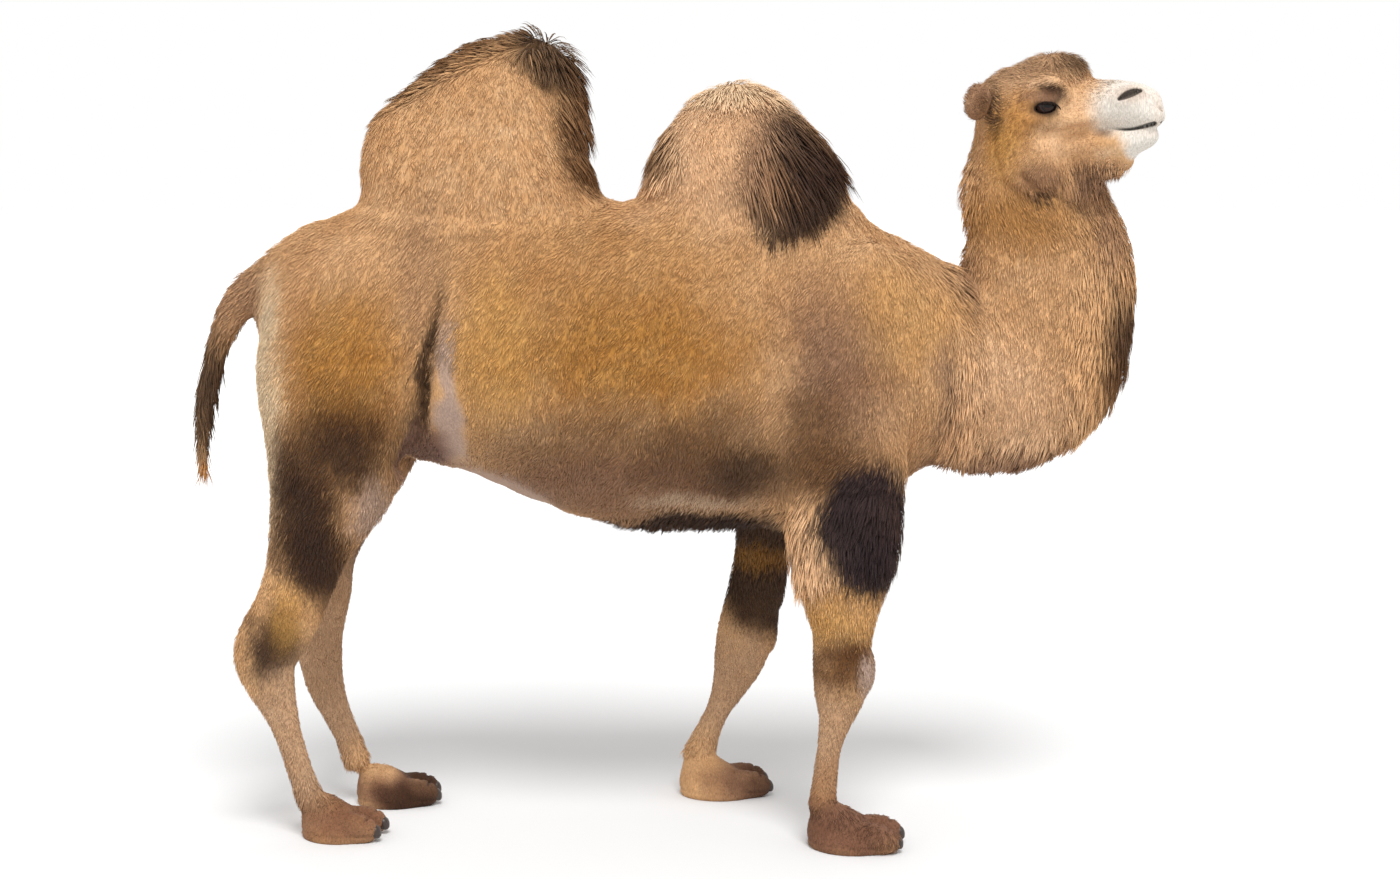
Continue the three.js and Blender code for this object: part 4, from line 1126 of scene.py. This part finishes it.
def grow(kind, roots, normals, random):
    """The vertices, triangles, colours and patches of one kind of tuft."""
    length, half_width, lift, _ = coat_values(roots)
    curl = curl_of_coat(roots)
    centre, shade, sway = nearest_clump(roots, CLUMP[kind], 41)
    pull = centre - roots
    pull -= (pull * normals).sum(-1)[:, None] * normals
    inside = 1 - np.linalg.norm(pull, axis=-1) / (CLUMP_REACH * CLUMP[kind]) - CLUMP_EDGE

    def by_chance(reach):
        return random.uniform(-reach, reach, len(roots))

    length = length * (1 + LENGTH_VARIES[0] * shade + by_chance(LENGTH_VARIES[1]))
    half_width = half_width * random.uniform(*WIDTH_RANGE, len(roots))
    rise_more = 1 + LIFT_VARIES[0] * sway + (0.2 + 0.8 * curl) * inside
    lift = np.radians(lift * rise_more + by_chance(LIFT_VARIES[1]))
    along = lie_of_coat(roots, normals)
    side = np.cross(normals, along)
    swing = np.radians(SWING_VARIES[0] * sway * (0.4 + 0.8 * curl) + by_chance(SWING_VARIES[1]))[:, None]
    along, side = along * np.cos(swing) + side * np.sin(swing), side * np.cos(swing) - along * np.sin(swing)
    pull *= ((0.1 + 0.5 * curl) * random.uniform(*PULL_RANGE, len(roots)))[:, None]
    droop = np.array([0, 0, -1.0]) * DROOP[kind]
    # Tone varies at random by clump and by tuft; a clump's middle takes painted light and its edge painted
    # shade.
    light = 1 + LIGHT_VARIES[0] * shade + (0.06 + 0.26 * curl) * inside + by_chance(LIGHT_VARIES[1])
    stray = STRAY * (np.minimum(length, STRAY_LENGTH) / STRAY_LENGTH)[:, None]
    base = coat_colour(roots + random.normal(0, stray, roots.shape)) * light[:, None]

    def middle_at(s):
        rise = length * np.sin(lift) * s * (1.3 - 0.55 * s) - ROOT_DEPTH * (1 - s) ** 2
        ahead = length * s * np.cos(lift)
        hang = (length * s * s)[:, None] * droop
        return roots + ahead[:, None] * along + rise[:, None] * normals + pull * s ** 1.3 + hang

    # Painted shade at the root, growing to the lit, paler tip.
    def shade_at(s):
        return base * (ROOT_PAINTED_SHADE + (TIP_PALER_AND_LIT - ROOT_PAINTED_SHADE) * s)

    rows, colours, patches = [middle_at(0.0)], [shade_at(0.0)], [(0.5, 0)]
    for s in STEPS[kind]:
        wide = (half_width * (0.5 + 2.2 * s - 2.6 * s * s))[:, None]
        middle = middle_at(s)
        rows += [middle - side * wide, middle + side * wide, middle + normals * wide * RIDGE]
        colours += [shade_at(s)] * 3
        patches += [(0, s), (1, s), (0.5, s + 0.1)]
    rows.append(middle_at(1.0))
    colours.append(shade_at(1.0))
    patches.append((0.5, 1.0))
    points = np.stack(rows, 1)
    points[..., 2] = np.maximum(points[..., 2], FLOOR_GAP)
    triangles = np.arange(len(roots))[:, None, None] * len(rows) + tuft_faces(len(STEPS[kind]))
    return {
        "points": points.reshape(-1, 3),
        "triangles": triangles.reshape(-1, 3),
        "colours": np.stack(colours, 1).reshape(-1, 3),
        "patches": np.tile(np.array(patches), (len(roots), 1)),
        "roots": np.repeat(roots, len(rows), 0),
    }


PATCH = 0.003  # size of a tuft's patch on the unwrap
UNWRAP_EDGE = 0.008
COAT_SEED = 7
ALONG_X = ((1, 0, 0), (0, 0, 1))  # the way a spine runs, and where its unwrap starts

# Pieces of the coat: name, which roots it takes, and the spine that its unwrap winds round.
PIECES = [
    ("coat_head", lambda p: (p[:, 2] > NECK_SEAM) & (p[:, 0] > 700), HEAD.at, *ALONG_X),
    ("coat_neck", lambda p: (p[:, 0] > 690) & (p[:, 2] > 900), (940, 0, 1300), (0, 0, 1), (-1, 0, 0)),
    ("coat_tail", lambda p: (p[:, 0] < -1060) & (p[:, 2] > 940) & (np.abs(p[:, 1]) < 62),
     (-1200, 0, 1300), (0, 0, 1), (1, 0, 0)),
    ("coat_hump_rear", lambda p: (p[:, 2] > 1660) & (p[:, 0] < -200), (0, 0, 1800), *ALONG_X),
    ("coat_hump_front", lambda p: p[:, 2] > 1660, (0, 0, 1800), *ALONG_X),
    ("coat_hind_legs", lambda p: (p[:, 2] < 900) & (p[:, 0] < -600), None, None, None),
    ("coat_fore_legs", lambda p: (p[:, 2] < 830) & (p[:, 0] > -200), None, None, None),
    ("coat_rump_right", lambda p: (p[:, 0] < -520) & (p[:, 1] < 0), (0, 0, 1350), *ALONG_X),
    ("coat_rump_left", lambda p: p[:, 0] < -520, (0, 0, 1350), *ALONG_X),
    ("coat_shoulder_right", lambda p: (p[:, 0] > 150) & (p[:, 1] < 0), (0, 0, 1250), *ALONG_X),
    ("coat_shoulder_left", lambda p: p[:, 0] > 150, (0, 0, 1250), *ALONG_X),
    ("coat_flank_right", lambda p: p[:, 1] < 0, (0, 0, 1290), *ALONG_X),
    ("coat_flank_left", lambda p: p[:, 1] >= 0, (0, 0, 1290), *ALONG_X),
]


def stretched(values):
    """Values stretched over the unwrap's square, inside its edge."""
    low, high = values.min(), values.max()
    return UNWRAP_EDGE + (1 - 2 * UNWRAP_EDGE) * (values - low) / (high - low)


def unwrapped(roots, spine_at, spine, up):
    """Where roots lie on a cylinder's unwrap of the skin round a spine, or on two legs side by side."""
    if spine_at is None:
        left = roots[:, 1] > 0
        middle = np.where(left[:, None], roots[left].mean(0), roots[~left].mean(0))
        turn = np.arctan2(roots[:, 1] - middle[:, 1], roots[:, 0] - middle[:, 0]) / (2 * np.pi) + 0.5
        return np.stack([stretched(turn * 0.48 + 0.5 * left), stretched(roots[:, 2])], -1)
    offset = roots - np.array(spine_at)
    spine, up = np.array(spine, float), np.array(up, float)
    turn = np.arctan2(offset @ np.cross(spine, up), offset @ up)
    return np.stack([stretched(offset @ spine), stretched(turn)], -1)


def triangle_mesh(name, points, triangles):
    mesh = bpy.data.meshes.new(name)
    mesh.vertices.add(len(points))
    mesh.vertices.foreach_set("co", points.astype(np.float32).ravel())
    mesh.loops.add(triangles.size)
    mesh.loops.foreach_set("vertex_index", triangles.astype(np.int32).ravel())
    mesh.polygons.add(len(triangles))
    mesh.polygons.foreach_set("loop_start", np.arange(0, triangles.size, 3, dtype=np.int32))
    mesh.update(calc_edges=True)
    mesh.shade_smooth()
    return mesh


def set_colours(mesh, colours):
    attribute = mesh.attributes.new("coat_colour", "FLOAT_COLOR", "POINT")
    full = np.concatenate([np.clip(colours, 0, 1), np.ones((len(colours), 1))], 1)
    attribute.data.foreach_set("color", full.astype(np.float32).ravel())


def set_unwrap(mesh, at, triangles):
    """Lays out a mesh for its baked textures, from where each vertex goes."""
    layer = mesh.uv_layers.new(name="OFBake")
    layer.data.foreach_set("uv", at[triangles.ravel()].astype(np.float32).ravel())


def coat_piece(name, roots, normals, random, spine_at, spine, up):
    """One joined mesh of tufts, coloured and unwrapped."""
    length = coat_values(roots)[0]
    kinds = {
        "spike": length < LONGEST_SPIKE,
        "tuft": (length >= LONGEST_SPIKE) & (length < SHORTEST_LOCK),
        "lock": length >= SHORTEST_LOCK,
    }
    tufts = [grow(kind, roots[of], normals[of], random) for kind, of in kinds.items() if of.any()]
    offsets = np.cumsum([0] + [len(part["points"]) for part in tufts[:-1]])
    triangles = np.concatenate([part["triangles"] + start for part, start in zip(tufts, offsets)])
    points, colours, patches, owners = (
        np.concatenate([part[key] for part in tufts]) for key in ("points", "colours", "patches", "roots")
    )
    mesh = triangle_mesh(name, to_frame(points), triangles)
    set_colours(mesh, colours)
    set_unwrap(mesh, unwrapped(owners, spine_at, spine, up) + PATCH * (patches - 0.5), triangles)
    return mesh


def make_coat(points, normals, triangles, share):
    """The coat's meshes, by piece."""
    random = np.random.default_rng(COAT_SEED)
    roots, facing = scatter_roots(points, normals, triangles, share, random)
    left_over = np.ones(len(roots), bool)
    meshes = {}
    for name, takes, spine_at, spine, up in PIECES:
        of = left_over & takes(roots)
        left_over &= ~of
        meshes[name] = coat_piece(name, roots[of], facing[of], random, spine_at, spine, up)
    return meshes


# ---- Eyes, lashes and nails ------------------------------------------------------------------------

IRIS = linear("#301a0f")
IRIS_EDGE = linear("#120906")
EYE_WHITE = linear("#3c2a24")
PUPIL = linear("#050303")
GAZE = (0.30, -0.95, -0.06)  # the way the right eye looks, in the head's frame
IRIS_ANGLE, PUPIL_ANGLE = 0.60, 0.25  # half angles seen from the middle of the eyeball, in radians
IRIS_SOFTNESS, PUPIL_SOFTNESS = 0.08, 0.03
CORNEA_ANGLE, CORNEA_RISE = IRIS_ANGLE + 0.12, 1.6
EYE_GAP = 0.6  # between the eyeball and the lids
PUPIL_SHAPE = (1.5, 0.8)  # wide and low


def head_side(points, side):
    """Points of the head's right side, taken to the side asked for and out to the body's frame."""
    return HEAD.outward(points * (1, 1 if side == RIGHT else -1, 1))


def sphere_grid(rows, columns):
    """Points of a unit sphere about Z, and its triangles."""
    polar = np.linspace(0, np.pi, rows + 1)[1:-1]
    around = np.linspace(0, 2 * np.pi, columns, endpoint=False)
    ring = np.stack([np.cos(around), np.sin(around)], -1)
    points = [np.array([0, 0, 1.0])]
    points += [np.array([*(xy * np.sin(p)), np.cos(p)]) for p in polar for xy in ring]
    points.append(np.array([0, 0, -1.0]))
    last = len(points) - 1
    faces = []
    for k in range(columns):
        after = (k + 1) % columns
        faces += [(0, 1 + k, 1 + after), (last, last - columns + after, last - columns + k)]
        for row in range(rows - 2):
            a, b = 1 + row * columns + k, 1 + row * columns + after
            faces += [(a, a + columns, b), (b, a + columns, b + columns)]
    return np.array(points), np.array(faces)


def frame_towards(direction):
    """A turn whose third axis points along the direction."""
    third = np.array(direction) / np.linalg.norm(direction)
    first = np.cross((0, 0, 1), third)
    first /= np.linalg.norm(first)
    return np.stack([first, np.cross(third, first), third], -1)


def eye_mesh(side):
    """An eyeball with a raised cornea, its iris rayed round a level pupil."""
    sphere, faces = sphere_grid(72, 96)
    polar = np.arccos(np.clip(sphere[:, 2], -1, 1))
    around = np.arctan2(sphere[:, 1], sphere[:, 0])
    rise = CORNEA_RISE * smoothstep(CORNEA_ANGLE, 0.0, polar)
    local = sphere * (EYE_RADIUS - EYE_GAP + rise)[:, None]
    turn = frame_towards(GAZE)
    points = head_side(np.array(EYE_AT) + local @ turn.T, side)
    rays = 0.5 + 0.5 * noise(np.stack([np.cos(around) * 9, np.sin(around) * 9, polar * 3], -1), 1.0, 51)
    iris = mix(IRIS, IRIS_EDGE, smoothstep(0.5 * IRIS_ANGLE, IRIS_ANGLE, polar))
    iris = iris * (0.55 + 0.9 * rays)[:, None]
    colour = mix(iris, EYE_WHITE * 0.6, smoothstep(IRIS_ANGLE, IRIS_ANGLE + IRIS_SOFTNESS, polar))
    pupil = np.hypot(sphere[:, 0] / PUPIL_SHAPE[0], sphere[:, 1] / PUPIL_SHAPE[1])
    within = smoothstep(PUPIL_ANGLE - PUPIL_SOFTNESS, PUPIL_ANGLE + PUPIL_SOFTNESS, pupil)
    colour = mix(PUPIL, colour, within)
    if side == LEFT:
        faces = faces[:, ::-1]
    mesh = triangle_mesh("eyeball_" + side, to_frame(points), faces)
    set_colours(mesh, colour)
    return mesh


LASHES = 70  # over each eye
LASH_LENGTH = 20
LASH_RINGS = ((0, 0.75), (0.35, 0.65), (0.7, 0.4))  # how far along a lash, and half its width there
LASH_POINTS = 3 * len(LASH_RINGS) + 1
LASH_CURVE = 9  # how far a lash's tip hangs
LASH_SHADE = 0.5
LASH_SEED = 19
LID_OPENING = (31, 14)  # half width and half height of the open eye


def lash_tufts(random):
    """Lashes along the upper lid, longest over the front of the eye."""
    turn = np.radians(np.linspace(8, 172, LASHES) + random.uniform(-1, 1, LASHES))
    x = LID_OPENING[0] * np.cos(turn)
    z = LID_OPENING[1] * np.sin(turn) + 1.5
    out = np.sqrt((EYE_RADIUS + LID) ** 2 - x ** 2 - z ** 2) - 1.5
    roots = np.array(EYE_AT) + np.stack([x + 3, -out, z - 5 - 0.1 * x], -1)
    toward = np.stack([0.25 + 0.012 * x, np.full(LASHES, -1.0), np.full(LASHES, -0.32)], -1)
    toward += random.uniform(-0.12, 0.12, (LASHES, 3))
    toward /= np.linalg.norm(toward, axis=-1)[:, None]
    length = LASH_LENGTH * (0.75 + 0.012 * x) * random.uniform(0.8, 1.15, LASHES)
    across = np.cross(toward, (0, 0, 1.0))
    across /= np.linalg.norm(across, axis=-1)[:, None]
    above = np.cross(across, toward)
    rings = []
    for s, wide in LASH_RINGS:
        middle = roots + toward * (length * s)[:, None] + above * (-LASH_CURVE * s * s)
        rings += [middle - across * wide, middle + across * wide, middle + above * wide]
    rings.append(roots + toward * length[:, None] + above * -LASH_CURVE)
    faces = np.array([(0, 2, 1), *ring_faces(len(LASH_RINGS), 0)])
    triangles = np.arange(LASHES)[:, None, None] * LASH_POINTS + faces
    return np.stack(rings, 1).reshape(-1, 3), triangles.reshape(-1, 3)


def lash_mesh(side):
    """The lashes of one eye, unwrapped in rows side by side."""
    points, triangles = lash_tufts(np.random.default_rng(LASH_SEED))
    if side == LEFT:
        triangles = triangles[:, ::-1]
    points = head_side(points, side)
    mesh = triangle_mesh("lashes_" + side, to_frame(points), triangles)
    set_colours(mesh, np.tile(DARK * LASH_SHADE, (len(points), 1)))
    lash, step = np.divmod(np.arange(len(points)), LASH_POINTS)
    at = np.stack([0.01 + 0.97 * lash / LASHES + 0.003 * (step % 3), 0.01 + 0.1 * step], -1)
    set_unwrap(mesh, at, triangles)
    return mesh


NAIL_SIZE = (15, 17, 18)
NAIL_INSIDE = 0.97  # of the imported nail's size
NAIL_FORWARD = 0.44  # of the foot's length, from its middle
NAIL_HEIGHT = 30
NAIL_RIDGES, RIDGE_DEPTH = 7, 0.012
NAIL_ROUNDNESS = 0.86  # 1 would be an ellipsoid, and less is blunter


def nail_mesh(foot, toe):
    """A blunt nail, rounded over its back, with growth ridges round it."""
    side = TOES[toe]
    sphere, faces = sphere_grid(28, 36)
    ridge = 1 + RIDGE_DEPTH * np.sin(sphere[:, 0] * NAIL_RIDGES * np.pi)
    shaped = np.sign(sphere) * np.abs(sphere) ** NAIL_ROUNDNESS * ridge[:, None]
    shaped[:, 2] -= 0.16 * (shaped[:, 0] + 0.4) ** 2  # the tip curves down
    splay = FEET[foot][-1] + side * TOE_SPLAY
    place = Place(on_foot(foot, NAIL_FORWARD, side * TOE_ASIDE, NAIL_HEIGHT), yaw=splay)
    points = place.outward(shaped * NAIL_SIZE * NAIL_INSIDE)
    return triangle_mesh(f"{foot}_claw_{toe}", to_frame(points), faces)


# ---- Materials -------------------------------------------------------------------------------------

def new_material(name, roughness, **sockets):
    """A material of one Principled shader, with its constant sockets set."""
    material = bpy.data.materials.new(name)
    material.use_nodes = True
    shader = material.node_tree.nodes["Principled BSDF"]
    shader.inputs["Roughness"].default_value = roughness
    for socket, value in sockets.items():
        shader.inputs[socket.replace("_", " ")].default_value = value
    return material, material.node_tree.nodes, material.node_tree.links, shader


def scaled_noise(nodes, links, scale, stretch=(1, 1, 1), detail=3.0):
    """Noise in the object's own space, stretched along its axes."""
    coordinates = nodes.new("ShaderNodeTexCoord")
    mapping = nodes.new("ShaderNodeMapping")
    mapping.inputs["Scale"].default_value = stretch
    texture = nodes.new("ShaderNodeTexNoise")
    texture.inputs["Scale"].default_value = scale
    texture.inputs["Detail"].default_value = detail
    links.new(coordinates.outputs["Object"], mapping.inputs["Vector"])
    links.new(mapping.outputs["Vector"], texture.inputs["Vector"])
    return texture.outputs["Fac"]


def varied_attribute(nodes, links, texture, low, high):
    """The painted colour, made lighter and darker by a texture."""
    attribute = nodes.new("ShaderNodeAttribute")
    attribute.attribute_name = "coat_colour"
    span = nodes.new("ShaderNodeMapRange")
    span.inputs["From Min"].default_value = 0.25
    span.inputs["From Max"].default_value = 0.75
    span.inputs["To Min"].default_value = low
    span.inputs["To Max"].default_value = high
    links.new(texture, span.inputs["Value"])
    times = nodes.new("ShaderNodeVectorMath")
    times.operation = "SCALE"
    links.new(attribute.outputs["Color"], times.inputs[0])
    links.new(span.outputs["Result"], times.inputs["Scale"])
    return times.outputs["Vector"]


def bump(nodes, links, shader, height, distance, strength):
    node = nodes.new("ShaderNodeBump")
    node.inputs["Distance"].default_value = distance
    node.inputs["Strength"].default_value = strength
    links.new(height, node.inputs["Height"])
    links.new(node.outputs["Normal"], shader.inputs["Normal"])


def coat_material(name, roughness, sheen, texture, shades, relief):
    """The painted colour broken up by strands, which also raise the surface."""
    material, nodes, links, shader = new_material(
        name, roughness, Sheen_Weight=sheen, Specular_IOR_Level=0.2,
    )
    strands = scaled_noise(nodes, links, *texture)
    links.new(varied_attribute(nodes, links, strands, *shades), shader.inputs["Base Color"])
    bump(nodes, links, shader, strands, *relief)
    return material


def hair_material():
    return coat_material("camel_hair", 0.85, 0.05, (260, (1.6, 1.6, 0.35)), (0.72, 1.28), (0.0012, 0.5))


def skin_material():
    return coat_material("camel_skin", 0.88, 0.03, (190, (1.5, 1.5, 0.4)), (0.66, 1.2), (0.003, 0.6))


def eye_material():
    material, nodes, links, shader = new_material(
        "camel_eye", 0.08, Coat_Weight=0.2, Specular_IOR_Level=0.15,
    )
    flecks = scaled_noise(nodes, links, 420)
    links.new(varied_attribute(nodes, links, flecks, 0.8, 1.2), shader.inputs["Base Color"])
    return material


def ramp_to_colour(nodes, links, shader, value, start, end):
    """Colours a shader between two colours, by a value from 0 to 1."""
    ramp = nodes.new("ShaderNodeValToRGB")
    for element, colour in zip(ramp.color_ramp.elements, (start, end)):
        element.color = (*colour, 1)
    links.new(value, ramp.inputs["Fac"])
    links.new(ramp.outputs["Color"], shader.inputs["Base Color"])


def nail_material():
    material, nodes, links, shader = new_material("camel_nail", 0.42)
    grain = scaled_noise(nodes, links, 90, (3, 1, 1))
    ramp_to_colour(nodes, links, shader, grain, linear("#1f1815"), linear("#4c3c33"))
    bump(nodes, links, shader, grain, 0.0008, 0.6)
    return material


FLOOR_NEAR, FLOOR_FAR = 3.0, 12.0  # the floor pales between these distances, to meet the sky
FLOOR_NEAR_COLOUR, FLOOR_FAR_COLOUR = (0.76,) * 3, (0.99,) * 3


def floor_material():
    material, nodes, links, shader = new_material("studio_floor", 0.9, Specular_IOR_Level=0.0)
    coordinates = nodes.new("ShaderNodeTexCoord")
    length = nodes.new("ShaderNodeVectorMath")
    length.operation = "LENGTH"
    links.new(coordinates.outputs["Object"], length.inputs[0])
    span = nodes.new("ShaderNodeMapRange")
    span.inputs["From Min"].default_value = FLOOR_NEAR
    span.inputs["From Max"].default_value = FLOOR_FAR
    links.new(length.outputs["Value"], span.inputs["Value"])
    ramp_to_colour(nodes, links, shader, span.outputs["Result"], FLOOR_NEAR_COLOUR, FLOOR_FAR_COLOUR)
    return material


# ---- Building --------------------------------------------------------------------------------------

def add_object(mesh, material, nodes=()):
    piece = bpy.data.objects.new(mesh.name, mesh)
    bpy.context.scene.collection.objects.link(piece)
    mesh.materials.append(material)
    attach(piece, "root")
    if nodes:
        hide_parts(*nodes)


def mesh_arrays(mesh):
    """A mesh's points, their normals and its triangles."""
    points = np.zeros(len(mesh.vertices) * 3)
    mesh.vertices.foreach_get("co", points)
    normals = np.zeros(len(mesh.vertices) * 3)
    mesh.vertex_normals.foreach_get("vector", normals)
    mesh.calc_loop_triangles()
    triangles = np.zeros(len(mesh.loop_triangles) * 3, np.int32)
    mesh.loop_triangles.foreach_get("vertices", triangles)
    return points.reshape(-1, 3), normals.reshape(-1, 3), triangles.reshape(-1, 3)


FLESH = [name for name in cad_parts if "nail" not in name and not name.startswith("eye_")]
SKIN_PAINTED_SHADE = 0.86  # painted shade: the skin is darkened, as the hair over it shades it


def build_camel():
    skin = make_skin()
    points, normals, triangles = mesh_arrays(skin)
    hair = hair_material()
    coat = make_coat(points, normals, triangles, 1.0)
    for mesh in coat.values():
        add_object(mesh, hair)
    skin.vertices.foreach_set("co", to_frame(points).ravel())
    skin.update()
    # the skin takes the coat's colours, darkened with painted shade
    set_colours(skin, coat_colour(points) * SKIN_PAINTED_SHADE)
    add_object(skin, skin_material(), FLESH)
    eye = eye_material()
    for side in (RIGHT, LEFT):
        add_object(eye_mesh(side), eye, ["eye_" + side])
        add_object(lash_mesh(side), hair)
    nail = nail_material()
    for foot in FEET:
        for toe in TOES:
            add_object(nail_mesh(foot, toe), nail, [f"{foot}_nail_{toe}"])


# ---- Studio ----------------------------------------------------------------------------------------

CAMERA_AT = (0.0785, -5.8025, 1.72)
AIM_HEIGHT = 1.07  # height of the middle of the view over the animal's middle line
CAMERA_DISTANCE = 5.8
CAMERA_LENS = 54.57


def add_camera():
    camera = bpy.data.cameras.new("camera")
    camera.lens = CAMERA_LENS
    holder = bpy.data.objects.new("camera", camera)
    bpy.context.scene.collection.objects.link(holder)
    holder.location = CAMERA_AT
    dip = math.atan2(CAMERA_AT[2] - AIM_HEIGHT, CAMERA_DISTANCE)
    holder.rotation_euler = (math.pi / 2 - dip, 0, 0)
    bpy.context.scene.camera = holder


FLOOR_REACH = 400
SKY = 0.86  # light from all round, as a share of the white that the camera sees behind
SUN_STRENGTH = 2.3
SUN_FROM = (0.12, -0.62, 0.95)  # a broad soft light, high over the camera
SUN_ANGLE = math.radians(24)


def add_sun():
    light = bpy.data.lights.new("key", "SUN")
    light.energy = SUN_STRENGTH
    light.angle = SUN_ANGLE
    holder = bpy.data.objects.new("key", light)
    bpy.context.scene.collection.objects.link(holder)
    holder.rotation_euler = Vector(SUN_FROM).to_track_quat("Z", "Y").to_euler()


def add_sky():
    """A white studio: plain white behind, and a softer light from all round."""
    world = bpy.data.worlds.new("studio")
    world.use_nodes = True
    nodes, links = world.node_tree.nodes, world.node_tree.links
    seen = nodes["Background"]
    seen.inputs["Color"].default_value = (1, 1, 1, 1)
    light = nodes.new("ShaderNodeBackground")
    light.inputs["Color"].default_value = (1, 1, 1, 1)
    light.inputs["Strength"].default_value = SKY
    path = nodes.new("ShaderNodeLightPath")
    either = nodes.new("ShaderNodeMixShader")
    links.new(path.outputs["Is Camera Ray"], either.inputs["Fac"])
    links.new(light.outputs["Background"], either.inputs[1])
    links.new(seen.outputs["Background"], either.inputs[2])
    links.new(either.outputs["Shader"], nodes["World Output"].inputs["Surface"])
    bpy.context.scene.world = world


def add_studio():
    add_camera()
    add_sun()
    add_sky()
    bpy.context.scene.view_settings.view_transform = "Standard"
    mesh = bpy.data.meshes.new("floor")
    r = FLOOR_REACH
    mesh.from_pydata([(-r, -r, 0), (r, -r, 0), (r, r, 0), (-r, r, 0)], [], [(0, 1, 2, 3)])
    mesh.materials.append(floor_material())
    floor = bpy.data.objects.new("floor", mesh)
    bpy.context.scene.collection.objects.link(floor)


build_camel()
add_studio()
